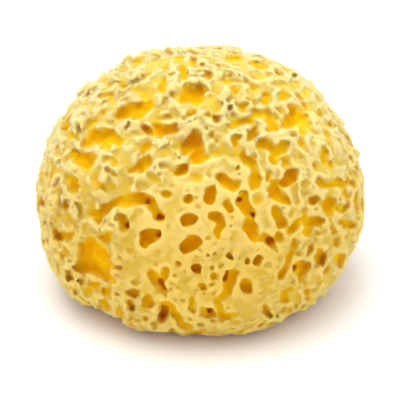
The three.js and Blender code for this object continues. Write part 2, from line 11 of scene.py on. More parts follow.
import bpy
import numpy as np
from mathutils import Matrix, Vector


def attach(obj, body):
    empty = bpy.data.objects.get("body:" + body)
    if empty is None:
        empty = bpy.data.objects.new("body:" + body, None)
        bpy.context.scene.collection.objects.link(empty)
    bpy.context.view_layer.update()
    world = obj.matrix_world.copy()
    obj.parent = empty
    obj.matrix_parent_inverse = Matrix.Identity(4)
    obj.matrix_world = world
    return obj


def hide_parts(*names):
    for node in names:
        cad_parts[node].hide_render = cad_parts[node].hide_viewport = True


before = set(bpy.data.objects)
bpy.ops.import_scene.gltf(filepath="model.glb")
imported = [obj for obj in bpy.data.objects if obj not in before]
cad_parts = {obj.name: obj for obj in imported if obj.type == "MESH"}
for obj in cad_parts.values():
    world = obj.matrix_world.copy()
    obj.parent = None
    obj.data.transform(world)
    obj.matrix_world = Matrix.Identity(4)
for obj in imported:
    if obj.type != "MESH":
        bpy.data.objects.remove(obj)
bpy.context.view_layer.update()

bl_info = {
    "name": "Sea sponge",
    "version": (1, 0, 0),
    "blender": (4, 5, 0),
    "location": "View3D > Sidebar > Sea sponge",
    "description": "Grows a natural bath sponge with its pores and fibres",
    "category": "Add Mesh",
}

MM = 0.001

# Depths of the pores as shares of the radius, as in the solid, which has no wells
PIT_DEPTH = 1.6
DIMPLE_DEPTH = 0.6
CANAL_DEPTH = 2.8
WELL_DEPTH = 2.5
DEEPEST_PIT = 5.0  # wide pits stay this shallow
CANAL_START = 4.6  # a canal runs on from the floor of the pit around it
CANAL_OPEN = 0.5  # loose fibres fill a canal past this share of its depth

# Form of a hole
RIM_WIDENING = 1.15  # a pore's mouth, against the hole seen in it
MOUTH_WIDENING = 1.04  # makes up for the edges that turn in
FLOOR_ROUND = 0.9  # height of a floor's bowl, as a share of the radius
LEAST_STRAIGHT = 0.05  # of a hole's sides
HOLE_LEAN = 0.7  # a hole in view turns this far from the eye's ray towards the skin's normal
LEAST_TURN = 0.4  # to the eye, of the skin, for how far a hole stretches near the outline
LEAST_SLANT = 0.8  # and its depth shrinks no further than to this share
HOLE_BLEND = 0.5  # how softly two holes join
NEAR_HOLE = (1.1, 1.8)  # the field is worked out this many radii around a hole, and this much more
NO_HOLE = 9  # the pores' field where no hole is near

# Pores out of view and under the cut, as in the solid, but with wells for its canals
FAR_PORES = 330
FAR_PORE_RADIUS = (1.7, 4.0)
FAR_FACING = 0.42  # they start where the skin turns this much away
FAR_DIMPLES = 0.2  # share of them that are dimples
FAR_WELLS = 0.15
FAR_CHAIN = 3.6  # a chain has this many holes more than one, at most
FAR_BEND = 1.8  # range of a chain's turn from hole to hole, in radians
FAR_STRIDE = 1.5  # from hole to hole, in radii
PORE_WALL = 0.8  # the least skin between them and a pore in view
FLAT_PAD = 9.0  # radius around the origin that is kept whole
CUT_HEIGHT = 2.0  # what lies lower than this is on the cut
LOWEST_PORE = 3.0  # above the cut, of the pores in view


class SmallPores(NamedTuple):
    """Smaller pores between the others, only in the skin."""

    places: int  # points of a spiral over the sponge
    radii: tuple
    depths: tuple  # as shares of the radius
    wall: float  # the least skin to the pores around
    raggedness: float  # the least there
    blend: float  # how softly the edges turn in
    salt: int


SMALL_PORES = (
    SmallPores(3200, (1.2, 2.4), (0.7, 1.3), wall=0.45, raggedness=0.42, blend=0.6, salt=31),
    SmallPores(3600, (0.35, 0.75), (0.7, 1.7), wall=0.25, raggedness=0.0, blend=0.3, salt=41),
)
STRAY = 0.04  # from the spiral's points, as a share of the sponge's radius
PLACES_TAKEN = 0.6  # share of the places that get a pore

# The skin is whole and smooth low on the front, and torn into frills elsewhere, most at the upper
# left. A reach gives the cosines of the angle from its spot between which the spot's look comes in
SMOOTH_SPOT = (3, -22)
SMOOTH_REACH = (0.79, 0.96)
RAGGED_SPOT = (-36, 36)
RAGGED_REACH = (0.2, 0.95)
LEAST_TORN = 0.62  # raggedness away from both spots
LOW_TORN = 0.72  # share of it that is left low on the sides
LOW_REACH = (-25, 8)  # heights from the middle between which it comes back

GRID_MARGIN = 3  # around the body
GRID_BELOW = 1.5  # under the cut

# Layers of noise in the skin: the size of a layer's lumps, and its seed
ROLLS = (5.5, 22)
HOLLOWS = (3.4, 21)
PIMPLES = (1.5, 24)
TUFTS = (3.6, 27)
NOTCHES = (3.8, 25)
FRILLS = (2.4, 26)
FELT = (1.2, 23)
WANDER = 5.0  # shifts whole pores
TREMOR = 1.6  # frays their edges
SHIFT_SEEDS = (1, 2, 3)  # of both, for the three axes
TREMOR_SEED = 10  # on top of those

# How much each layer does. A pair is for whole skin, and what raggedness adds to that
ROLL_HEIGHT = (0.1, 0.6)
HOLLOW_DEPTH = 0.1
RAGGED_HOLLOW = (0.5, 0.4)  # what raggedness adds low down, and what it adds more on the crown
HOLLOW_LEVEL = 0.5  # the noise's size at which the skin is neither sunk nor raised
CROWN = (0.3, -12, 12)  # it leans back by this share, and starts and is full at these heights
PIMPLE_HEIGHT = 0.07
TUFT_HEIGHT = 2.6
TUFT_LEVEL = 0.8  # a tuft stands where the noise is over this
TUFT_MOST = 0.9  # and no higher than this much more
TUFT_POWER = 4  # of the raggedness
NOTCH_DEPTH = 2.6
NOTCH_LEVEL = -0.1  # a notch is cut where the noise is over this
NOTCH_RING = (36, 44)  # out from the sponge's axis
NOTCH_HEIGHTS = (4, 11)  # above the cut
FRILL_HEIGHT = (0.2, 0.45)
FRILL_MEAN = 0.3  # the noise that breaks them up, as a share of their height
FRILL_SPREAD = 0.8
FRILL_LINE = 0.6  # the frills' crests stand this far from a pore's side
FRILL_WIDTH = 0.8
RIM_ROUND = (0.5, 0.6)  # how softly the skin turns in at a pore
WANDER_SHARE = (0.3, 0.7)
WANDER_SHIFT = 0.5
TREMOR_SHIFT = (0.22, 0.15)
FELT_HEIGHT = 0.1
FELT_ON_CUT = 0.6  # share that the cut takes off it
CUT_REACH = (-2.5, -0.5)  # the layers fade out down to the cut: minus the heights above it

# What counts as deep, for the painted shade of the colours and for where the fibres thin out: the
# depth under the skin, and more in a narrow hollow, by the field's mean around it
HOLLOW_SHARE = 2.0  # of that mean
HOLLOW_REACH = 1.8  # of the mean, to each side and once again
HOLLOW_MOST = 3  # the field counts up to this

# Fibres
FIBRE_THICKNESS = (0.05, 0.11)
FIBRE_LENGTH = (0.45, 0.6)
SHORTEST_FIBRE = 0.5  # share of that, and the longest is a whole length longer
STANDING_FIBRES = 0.35  # share of them that stand up
STANDING = 3  # how much more they keep to the normal than those that lie
FIBRE_ROOT = 0.1  # under the skin
SHORTER_IN_PORES = (0.6, 1, 3.5)  # by this share, from the first depth to the second
FEWER_IN_PORES = (0.7, 1, 3)
# Painted highlight: fibres count as standing over the skin, so they take the pale crest colour
FIBRE_HIGHLIGHT_LIFT = (0.3, 0.3, 0.3, 0.9)  # corners count as higher by these shares of the length
LOWEST_FIBRE = (0.02, 0.03)  # least height over the cut, and a random part more
FIBRE_SEED = 50

# Finish of the skin and of the fibres
SKIN_SHEEN = 0.0
FIBRE_SHEEN = 0.4
FELT_GRAIN = (1500, 6, 0.7)  # the bump's lumps to the metre, their detail and roughness

# Mottling of the colours: the share of the ramp that a noise covers, its lumps to the metre and its
# detail
SPECKLES = (0.12, 650, 3)
BLOTCHES = (0.14, 90, 4)
MOTTLE_MEAN = 0.13  # of both, which is taken off again

# Colour by depth, in millimetres, and by height, in metres: where the ramps' stops are. Both
# ramps hold painted light: a painted highlight on the crests and painted shade down in the pores,
# and painted shade low on the sides and at the foot
FRILL_LEVEL = -1.0
SKIN_LEVEL = 0.0
RIM_LEVEL = 1.4
PORE_LEVEL = 2.8
FLOOR_LEVEL = 5.0
DEEP_LEVEL = 9.0
RAMP_HEIGHT = 0.1
LOW_HEIGHTS = (0.007, 0.03)
PLAIN_HEIGHT = 0.09  # no tint from here up

# Stage, in metres
FLOOR_SIZE = 8
SKY_STRENGTH = 1.17
LAMP_PLACE = (-0.12, -0.1, 0.9)  # from the sponge's middle
LAMP_SIZE = 0.7
LENS = 135
SENSOR_WIDTH = 36
NEAREST = 0.01
VIEW_SHIFT = (-0.0004, -0.002)  # of the camera, to the right and up


def pit(*holes):
    """A round or wandering pore: a chain of holes, each (right, up, radius) in the view."""
    return PIT_DEPTH, holes


def dimple(*holes):
    """A shallow pore."""
    return DIMPLE_DEPTH, holes


def well(*holes):
    """A narrow pore on its own, between a pit and a canal in depth."""
    return WELL_DEPTH, holes


def canal(*holes):
    """A narrow pore that runs on deep from the floor of a pit."""
    return CANAL_DEPTH, holes


# The pores in view, from the sponge's middle there. They are as in the solid, but for some depths
# and a wider bowl at the lower left
FRONT_PORES = (
    # Top left
    pit((-31.3, 43.1, 1.6)),
    pit((-40.5, 39, 0.8), (-37, 40, 1.2), (-36, 37.5, 1.1)),
    dimple((-44.3, 35, 1.8)),
    dimple((-46.9, 31.5, 1.4)),
    pit((-54.3, 27.1, 2.3)),
    dimple((-52.7, 31.4, 1)),
    dimple((-33.3, 47.7, 0.9)),
    pit((-31.5, 31.8, 2.2), (-26.5, 33.5, 3.2), (-21.5, 36, 2.2), (-20.5, 38.5, 1.2)),
    pit((-24.2, 29.8, 1.4)),
    pit((-16.2, 46, 1.3), (-16.4, 43.8, 1.6)),
    pit((-14.2, 51.1, 1.5)),
    dimple((-19.3, 52.5, 2.6)),
    pit((-7.4, 51, 1.8), (-6.8, 48, 1.8), (-8.8, 46.3, 0.9)),
    pit((-2.3, 53.2, 1.6)),
    dimple((-7.9, 56, 1.2)),
    dimple((-12.5, 56, 1.2)),
    pit((-12.1, 41, 0.9), (-9, 39.7, 1.3), (-5.5, 40.8, 3), (-2.3, 41, 3.2), (-1.3, 38, 1.6)),
    pit((-23.2, 47.9, 0.9)),
    pit((-25.9, 45.4, 0.6)),
    pit((-28.7, 40.5, 0.8), (-26, 42, 0.8), (-23.5, 40, 0.9)),
    pit((-18.8, 29.5, 1.2), (-16.5, 31.5, 1.6), (-13.5, 32, 1.4)),
    pit((-2.8, 29, 0.7)),
    dimple((-10.7, 33, 2)),
    # Top right
    pit((0.1, 47.6, 0.5), (3.5, 47.5, 1.9)),
    dimple((1.9, 51.6, 0.8)),
    dimple((5.4, 42.4, 2.2)),
    pit((2.4, 40.5, 0.5)),
    dimple((4.2, 35.9, 3.2)),
    pit((2.6, 31.5, 1.3)),
    pit((6, 30.3, 1.7)),
    pit((8.4, 37.3, 0.6)),
    pit((11.2, 38.2, 1.1)),
    pit((16.2, 35.2, 1.5)),
    pit((11, 54.3, 1.2), (14, 55.5, 1.8), (16.5, 54.8, 1)),
    pit((20, 52.8, 1.5), (23, 52, 1.5)),
    dimple((10.9, 47.4, 1.4)),
    dimple((16, 51.4, 0.7), (19, 47.4, 0.7)),
    dimple((18.5, 41.4, 1.1)),
    pit((26.5, 39.8, 1.4), (25.5, 37.2, 1.9)),
    pit((29, 44, 1.1), (33, 44.6, 1.2)),
    pit((31.5, 39, 1.1), (34.3, 39.5, 1.6), (33.3, 41.5, 1.3)),
    pit((12, 27.8, 1.3), (16, 28.8, 1.5), (19.5, 30, 1.4), (21.5, 32.3, 1.4), (25.5, 32.4, 1.5),
        (28.3, 29.5, 1.8), (29.5, 27.5, 2)),
    pit((37.8, 34.5, 2), (37.3, 31, 3), (33.3, 27.6, 1.3)),
    pit((37.3, 31, 2.8), (41, 30.5, 1.9), (40.8, 27, 1.4), (40, 24.5, 1)),
    pit((41.5, 29.5, 1.5), (44, 26.5, 1), (45.8, 24.8, 0.7)),
    pit((39.8, 22.5, 0.9), (39.2, 20.5, 1.2)),
    pit((45.3, 33, 0.9), (47, 31.8, 1.2), (48.8, 33.5, 0.9)),
    pit((52.8, 29.1, 1.6)),
    dimple((51.9, 34.2, 1.4)),
    dimple((42.5, 41.1, 1.8)),
    dimple((36.5, 47.3, 1)),
    dimple((47, 38.3, 0.8)),
    dimple((54.2, 21.9, 0.8)),
    # Left, middle height
    pit((-45.5, 20.5, 1.8), (-42, 23.5, 3.2), (-37, 23.8, 2.4), (-33, 22, 1.6)),
    pit((-42.3, 26, 1.8)),
    pit((-39.5, 20.5, 1.8), (-36.3, 18, 1.5), (-36, 16.3, 0.8)),
    pit((-49.5, 15.5, 2.6), (-46.5, 13.8, 3), (-42.5, 13.8, 1.6)),
    pit((-46, 11, 1.6)),
    pit((-53.3, 7, 1.5), (-51.8, 5.5, 2.2), (-51.2, 3, 1.8)),
    well((-48.5, 5.5, 0.6), (-47.9, 4.3, 0.7)),
    pit((-42.7, 8.5, 0.9), (-42.2, 5.5, 1.4), (-40.5, 3.2, 0.9), (-38.3, 2.6, 0.7)),
    pit((-35.4, 2.5, 0.9)),
    pit((-50, 22.6, 1.1)),
    dimple((-57, 17.3, 1)),
    dimple((-56.4, 12.5, 1)),
    dimple((-58, 8.3, 0.6)),
    dimple((-62.4, 4.6, 1)),
    dimple((-57.3, 3, 1)),
    dimple((-62.6, -2.3, 2.2)),
    dimple((-59.9, -3.7, 1.2)),
    pit((-54.2, -2.5, 1), (-54.6, -5, 1.3)),
    pit((-49.7, -3.5, 1), (-49, -5.5, 1.1), (-48.3, -8, 0.8)),
    dimple((-48.8, -0.7, 1)),
    pit((-42, -21.5, 2.6), (-40.5, -24.5, 3), (-37.8, -27.3, 2.6)),
    pit((-44.6, 0, 0.6), (-44, -4, 0.9), (-43.5, -7.5, 1.4), (-41.8, -9, 1.8), (-39, -6.5, 2),
        (-36.8, -4.7, 1.9), (-33, -3, 1.7), (-29, -2.6, 1.9), (-24.5, -1.5, 2.4), (-20.5, -3, 2.2),
        (-18.8, -6.5, 1.6), (-17, -9.3, 1.8)),
    canal((-21.7, -2.6, 1.2)),
    canal((-17, -9.6, 1.3)),
    # Centre, upper half
    well((-24, 26.5, 1), (-22.3, 25.2, 1.9), (-21, 24, 1.3)),
    pit((-18.3, 28.5, 1.3), (-17, 25, 2.7), (-13, 25.5, 1.8), (-11.7, 26.3, 2.1)),
    pit((-23.1, 21.5, 0.7)),
    pit((-23.7, 18.5, 1.8)),
    pit((-22.8, 12.8, 2), (-25, 11.7, 1.8), (-27.5, 9.3, 1.1)),
    dimple((-20.5, 7.8, 1.6), (-18.5, 6.5, 1.6)),
    dimple((-24, 3.5, 1.8)),
    pit((-16.8, 4.3, 0.35)),
    pit((-15.5, 0.7, 1), (-13.6, 0, 1.2)),
    pit((-9, 9.5, 1.8), (-6.8, 10.6, 2.2)),
    pit((-12, 9.9, 0.8)),
    pit((-6.5, 18.5, 2), (-3.5, 21.5, 3), (-1, 18.5, 2), (-1.5, 15.3, 2.6), (1.5, 14.8, 1.4)),
    pit((-4, 12.6, 1)),
    pit((-8.9, 15.2, 0.7)),
    dimple((-14.9, 12.2, 1.5)),
    dimple((-16.8, 16.4, 1.6), (-14.5, 18.7, 1.4)),
    dimple((-11.5, 16.6, 1.2)),
    pit((-4.8, -2.1, 1.6)),
    dimple((-4.8, 1.6, 0.5)),
    dimple((-1.3, -5, 0.8)),
    dimple((-29, 21.2, 1.4)),
    dimple((-32.9, 15.5, 0.8)),
    pit((9.9, 24.7, 0.8)),
    pit((4.1, 23.5, 1.4)),
    pit((14.3, 21.9, 1.9)),
    pit((22.3, 24.5, 1.9), (20, 22.8, 1.7)),
    pit((21.7, 21.1, 0.4)),
    dimple((6.8, 16.8, 1.3), (10, 17.8, 1.6)),
    dimple((4.4, 18.5, 0.9)),
    pit((24.5, 19.8, 1.7), (27.5, 20.3, 1.9), (29.5, 17.5, 1.7), (29.2, 13, 1.4)),
    pit((29.8, 16, 1.6), (32.3, 18.5, 1.5), (34.5, 20.5, 1)),
    pit((17.3, 15.3, 1.8), (19.8, 12.8, 1.7), (21.2, 9.5, 1.1), (21.5, 6, 1.7), (20.8, 3, 1.5)),
    pit((21.4, 15.5, 1.1)),
    pit((14.5, 10.8, 0.9)),
    pit((7.8, 6.8, 2), (10.5, 4.3, 1.9), (13.5, 3, 1.8), (15, 4.8, 1)),
    pit((3.7, 0.8, 2.3), (3.7, -1.8, 2.3)),
    pit((10.8, -3.5, 1.5), (11.8, -6.3, 1.5)),
    pit((27, 8.8, 1), (26.5, 6.5, 1.3)),
    pit((30, 4.5, 2), (29.5, 1, 2.5), (33.5, -1.5, 1.7), (34.5, -2.7, 1.2)),
    pit((26.5, 2.3, 0.9)),
    dimple((22.6, -2.3, 2)),
    dimple((-2.3, 6.5, 2)),
    # Right, middle height
    well((36.8, 9.3, 1.6), (35.3, 7.2, 2.6), (34, 5.5, 1.9)),
    pit((48.8, 19.5, 1), (49.3, 16.5, 1.4), (48.8, 13.5, 1.3)),
    pit((47, 14.9, 0.7)),
    pit((51.5, 13, 1.2), (52, 10.8, 0.9)),
    dimple((53.5, 13.3, 1), (57.5, 12.8, 1)),
    dimple((57.4, 16.8, 1)),
    pit((47.5, 5.5, 1.6), (51, 4.5, 1.6), (54.3, 5.3, 1.4), (56.8, 3.5, 1.5)),
    pit((51.6, 3, 0.9)),
    pit((37.6, 4, 0.6), (37.5, 2, 0.7), (38, -1, 0.5), (38.7, -4, 0.5)),
    pit((41, -0.3, 0.9)),
    well((44, -3, 1.1), (45.8, -2.2, 1.6)),
    dimple((41.4, 4.3, 1.5)),
    pit((57.5, 0, 1.2), (60.2, -0.5, 1)),
    pit((52, -2, 1.9), (51.3, -5, 2.4), (52, -7.5, 1.6)),
    pit((49, -4.5, 1.5)),
    pit((55.5, -6.5, 1.5), (57.5, -4.8, 1.2), (59, -4.3, 0.9)),
    pit((59.7, -2.6, 0.9)),
    pit((41.8, -5.8, 0.9), (42, -8, 1.1)),
    pit((29.9, -6, 1.5), (30.8, -9, 1.8), (32.5, -12, 2.2)),
    dimple((35.8, -7.2, 1.2)),
    # Left, lower half
    pit((-32.2, -10.5, 2.1), (-31, -12.5, 1.9), (-31.5, -15, 1)),
    canal((-30.3, -13, 1.2)),
    pit((-49.8, -13.3, 0.8)),
    pit((-57.5, -13.3, 1.1), (-56, -17, 2), (-53.3, -17, 1.9)),
    pit((-43.5, -18.8, 2.4), (-45.5, -23, 3.4), (-46, -27.5, 3.4), (-41.5, -29.5, 2.6),
        (-37.5, -31.5, 2.6), (-34.3, -34, 1.4)),
    pit((-50, -29, 1.5), (-46, -28, 2.5)),
    well((-34.9, -27.5, 1), (-32.7, -28.6, 1.2)),
    pit((-38.5, -16, 1.6), (-38, -18.5, 1.6)),
    pit((-53, -31.8, 1.2), (-52.5, -33.8, 1.4)),
    dimple((-55.8, -27, 1.2)),
    pit((-53, -26.5, 0.6)),
    # Centre, lower half
    pit((-21.5, -17, 2.9), (-18, -16.5, 2.1)),
    pit((-22.8, -19, 2.1)),
    canal((-17.4, -16.8, 0.9)),
    pit((-6.2, -10.5, 2.2), (-3.8, -9.8, 2.2)),
    pit((-5.6, -12.6, 0.8)),
    pit((-6.3, -20.7, 2.5), (-2.2, -19, 2.4)),
    well((-1.9, -30.2, 1.8)),
    pit((-20, -32, 1.6), (-18, -34.5, 1.8), (-15.5, -37.5, 1.5), (-14.3, -39, 0.9)),
    pit((-14.3, -30.3, 1.3), (-14.8, -33, 1.5), (-16.5, -35, 1.4)),
    canal((-17, -35.2, 0.7), (-14.6, -38.2, 0.7)),
    pit((-9.2, -27.6, 1.1)),
    pit((-10.7, -32.2, 0.6)),
    pit((-8.6, -35, 0.5)),
    pit((-7, -34.8, 0.5)),
    pit((-5.6, -34.3, 0.5)),
    pit((-8.8, -36.6, 0.4)),
    dimple((-28.7, -22.3, 1.2)),
    dimple((-25.9, -34.5, 1.5)),
    dimple((-26.6, -9.2, 1.3)),
    pit((16.8, 0, 1.6), (16.5, -3, 2), (18.5, -6.5, 2), (20.5, -8.8, 1.6)),
    canal((15.9, -2.2, 1)),
    canal((21.1, -8.2, 0.8)),
    pit((19.5, -10, 1.3), (20, -12.5, 2.3), (20.5, -15, 2.2), (21.7, -18, 1.2)),
    pit((4.3, -8.8, 1.7), (6.5, -9.3, 2.1), (7.8, -12, 1.7), (6.8, -15, 1.3), (6.5, -17.5, 0.8)),
    pit((11.8, -12.8, 0.6)),
    well((11.6, -25.1, 1.2)),
    well((18.3, -27.2, 1)),
    well((23.3, -25.5, 1.3), (22.3, -27.3, 1.4)),
    pit((23.7, -17.5, 1.3), (25.3, -16.5, 1.5), (27.8, -18.5, 2), (29, -20.8, 1.3)),
    pit((31.5, -17, 1.8)),
    canal((28, -18.7, 1.6)),
    pit((2.2, -17.5, 0.6)),
    pit((2.4, -24.2, 0.7)),
    pit((5.4, -23.7, 0.8)),
    pit((4.5, -29.5, 0.9)),
    pit((7.9, -28.8, 0.8)),
    pit((5.2, -32.9, 1.2)),
    pit((4.2, -36.4, 0.7)),
    pit((0.5, -36.8, 1.4)),
    pit((13.3, -31.5, 1.9), (11.8, -34, 2.3), (11, -37.5, 1.7), (10.3, -40, 1.1),
        (8.2, -41.5, 1.3)),
    canal((10.3, -31.8, 0.9), (9.6, -35, 0.9)),
    pit((18.4, -36.8, 2.5)),
    dimple((26.6, -28.5, 1.2)),
    dimple((31.5, -26, 1)),
    # Right, lower half
    pit((35.8, -15.3, 1.3), (38, -12.8, 1.7), (40.5, -11.2, 1.1), (43, -11.2, 1.5),
        (46.5, -10.8, 2)),
    pit((41.8, -15.5, 1.1), (44, -13.8, 1.4)),
    pit((46.6, -15.8, 1)),
    pit((52.3, -13.5, 1.4), (53.2, -15.8, 1)),
    pit((55.2, -18.3, 1.1), (54.5, -20.3, 0.9)),
    dimple((50.3, -18.6, 1.4)),
    pit((58, -12, 1.9), (61, -12.3, 1.3)),
    dimple((58.4, -8.9, 1.5)),
    pit((37.5, -19.8, 1.5), (36.8, -23, 1.3), (35.2, -26, 1.2), (34.5, -29, 1.1), (32.3, -32, 1.6)),
    pit((44.3, -20.8, 1.4), (43.3, -22.3, 1.1)),
    pit((48.2, -23.5, 1.6), (48, -26, 2.1), (47.2, -28.5, 1)),
    pit((39.3, -28.8, 2), (42, -28.5, 2.4), (41, -31.5, 2), (40.7, -34.3, 1.2)),
    canal((38.8, -29.5, 1.2)),
    dimple((36.9, -33, 0.9)),
    pit((56, -25, 1.6), (55.5, -27.5, 1.5)),
    dimple((51.7, -34.3, 1.6)),
    dimple((47, -34.3, 1.8)),
    dimple((60.2, -20, 1.2)),
    # Along the cut
    pit((-50.8, -36.5, 0.8), (-49.8, -38.5, 0.7)),
    pit((-48, -34, 0.8), (-47, -36, 0.8)),
    pit((-46, -38.3, 1.3), (-44.8, -39.8, 1.1)),
    pit((-42.8, -35.8, 1.4), (-41.8, -37.8, 1.1)),
    pit((-38.3, -38.5, 1.9), (-38, -40.8, 1.2)),
    pit((-39.8, -42.8, 1.3), (-38.8, -44.8, 1.6)),
    pit((-44, -44.9, 0.8)),
    pit((-33.3, -46, 1.2), (-32.5, -48.5, 1.3)),
    pit((-33, -50.5, 1.5)),
    pit((-28.3, -39, 1.5), (-26.2, -40, 1.6)),
    pit((-28.3, -44.4, 1.8)),
    dimple((-27.3, -48.5, 1.6)),
    pit((-21.3, -42, 1.8), (-20.8, -44, 1.7)),
    pit((-21.5, -49.2, 1)),
    pit((-3.2, -42.3, 1.1), (-3.5, -44.5, 1.2), (-4, -46.2, 1.2)),
    pit((-15, -45.5, 2.2), (-12.5, -45.8, 2.2), (-11, -48, 1.6), (-9, -50, 1.3), (-7, -52.6, 1.5),
        (-3.9, -53.8, 1.3)),
    canal((-15.5, -47.5, 1.7), (-15.8, -50.5, 1.6)),
    pit((-18.5, -52.6, 1.2)),
    pit((-11.8, -54.4, 1.2)),
    pit((1, -47, 1.6), (3.5, -47.8, 2)),
    canal((3.2, -47.2, 1.3)),
    pit((7, -42.5, 1.3), (7.6, -45.5, 1.5), (9, -49, 1.9), (11.8, -49, 1.2), (14, -47.6, 0.7)),
    pit((36, -37.8, 1), (33.3, -39, 1.3), (33.9, -42, 1.2)),
    dimple((37, -41, 2)),
    pit((26, -45.3, 1.4), (27.2, -48, 1.3)),
    dimple((38.3, -42.7, 1.5)),
    pit((37.8, -44.7, 0.9)),
    pit((42.4, -38.8, 1.4)),
    pit((43.1, -41.1, 0.8)),
    dimple((45.7, -33.7, 1.5)),
    pit((30.6, -48.3, 0.7)),
)

# Where the outline swells or sinks, in the view: (right, up, height, spread)
SWELLINGS = (
    (-52, -38, 2.6, 20),
    (-29, 52, -3.5, 6),
    (-45, 45, -2.4, 6),
    (57, 27, -1.6, 16),
    (47, -44, 1.2, 14),
)
LUMP_HEIGHT = 0.9
LUMP_WAVES = ((5.1, 1.3), (4.3, 0.4), (4.7, 0.0))  # along each axis: the wave's rate and start


class SpongeSettings(bpy.types.PropertyGroup):
    """Sizes and colours of the sponge."""

    width: bpy.props.FloatProperty(
        name="Width", description="Side to side", default=0.130, unit="LENGTH")
    depth: bpy.props.FloatProperty(
        name="Depth", description="Front to back", default=0.126, unit="LENGTH")
    crown_rise: bpy.props.FloatProperty(
        name="Crown rise", description="From the middle to the top", default=0.059, unit="LENGTH")
    middle_height: bpy.props.FloatProperty(
        name="Middle height", description="From the cut to the middle", default=0.037, unit="LENGTH")
    cut_edge_round: bpy.props.FloatProperty(
        name="Cut edge", description="How softly the side turns under to the cut", default=0.012,
        unit="LENGTH")
    grain: bpy.props.FloatProperty(
        name="Grain", description="Step of the grid that the skin is grown on", default=0.0005,
        unit="LENGTH", precision=5)
    skin_faces: bpy.props.IntProperty(
        name="Skin faces", description="Triangles in the finished skin", default=196000)
    fibre_pieces: bpy.props.IntProperty(
        name="Fibre pieces", description="Pieces that the fibres are made in", default=4)
    fibres_each: bpy.props.IntProperty(
        name="Fibres each", description="Fibres in each of those pieces", default=48500)
    # The frills' pale colour is a painted highlight on the crests and on the fibres that stand
    crest_highlight_colour: bpy.props.FloatVectorProperty(
        name="Frills", description="Colour of the frills that stand up", default=(0.76, 0.625, 0.24),
        size=3, subtype="COLOR")
    skin_colour: bpy.props.FloatVectorProperty(
        name="Skin", description="Colour of the outer skin", default=(0.67, 0.51, 0.125), size=3,
        subtype="COLOR")
    # Painted shade: colours turn darker and warmer low on the sides, where less light falls
    low_painted_shade: bpy.props.FloatVectorProperty(
        name="Low tint", description="Colours are multiplied by this low on the sides",
        default=(0.95, 0.82, 0.43), size=3, subtype="COLOR")
    # Painted shade: darker and browner next to the floor, where the sponge shades itself
    foot_painted_shade: bpy.props.FloatVectorProperty(
        name="Foot tint", description="Colours are multiplied by this next to the floor",
        default=(0.85, 0.42, 0.06), size=3, subtype="COLOR")
    # Painted shade and bounced light: the colours turn darker and more orange deeper in the pores
    rim_colour: bpy.props.FloatVectorProperty(
        name="Hollows", description="Colour a millimetre down", default=(0.74, 0.54, 0.065), size=3,
        subtype="COLOR")
    pore_colour: bpy.props.FloatVectorProperty(
        name="Pores", description="Colour two or three millimetres down in the pores",
        default=(0.75, 0.47, 0.006), size=3, subtype="COLOR")
    floor_colour: bpy.props.FloatVectorProperty(
        name="Pore floors", description="Colour four or five millimetres down",
        default=(0.75, 0.385, 0.003), size=3, subtype="COLOR")
    deep_colour: bpy.props.FloatVectorProperty(
        name="Depths", description="Colour at the bottom of the deepest pores",
        default=(0.85, 0.30, 0.004), size=3, subtype="COLOR")
    view_elevation: bpy.props.FloatProperty(
        name="View elevation", description="How far the camera looks down", default=math.radians(29),
        subtype="ANGLE")
    view_distance: bpy.props.FloatProperty(
        name="View distance", description="From the camera to the sponge's middle", default=0.6,
        unit="LENGTH")
    lamp_power: bpy.props.FloatProperty(
        name="Lamp power", description="Power of the large soft lamp", default=4.5, unit="POWER")


def settings():
    """The sponge's settings in the open scene."""
    return bpy.context.scene.sea_sponge


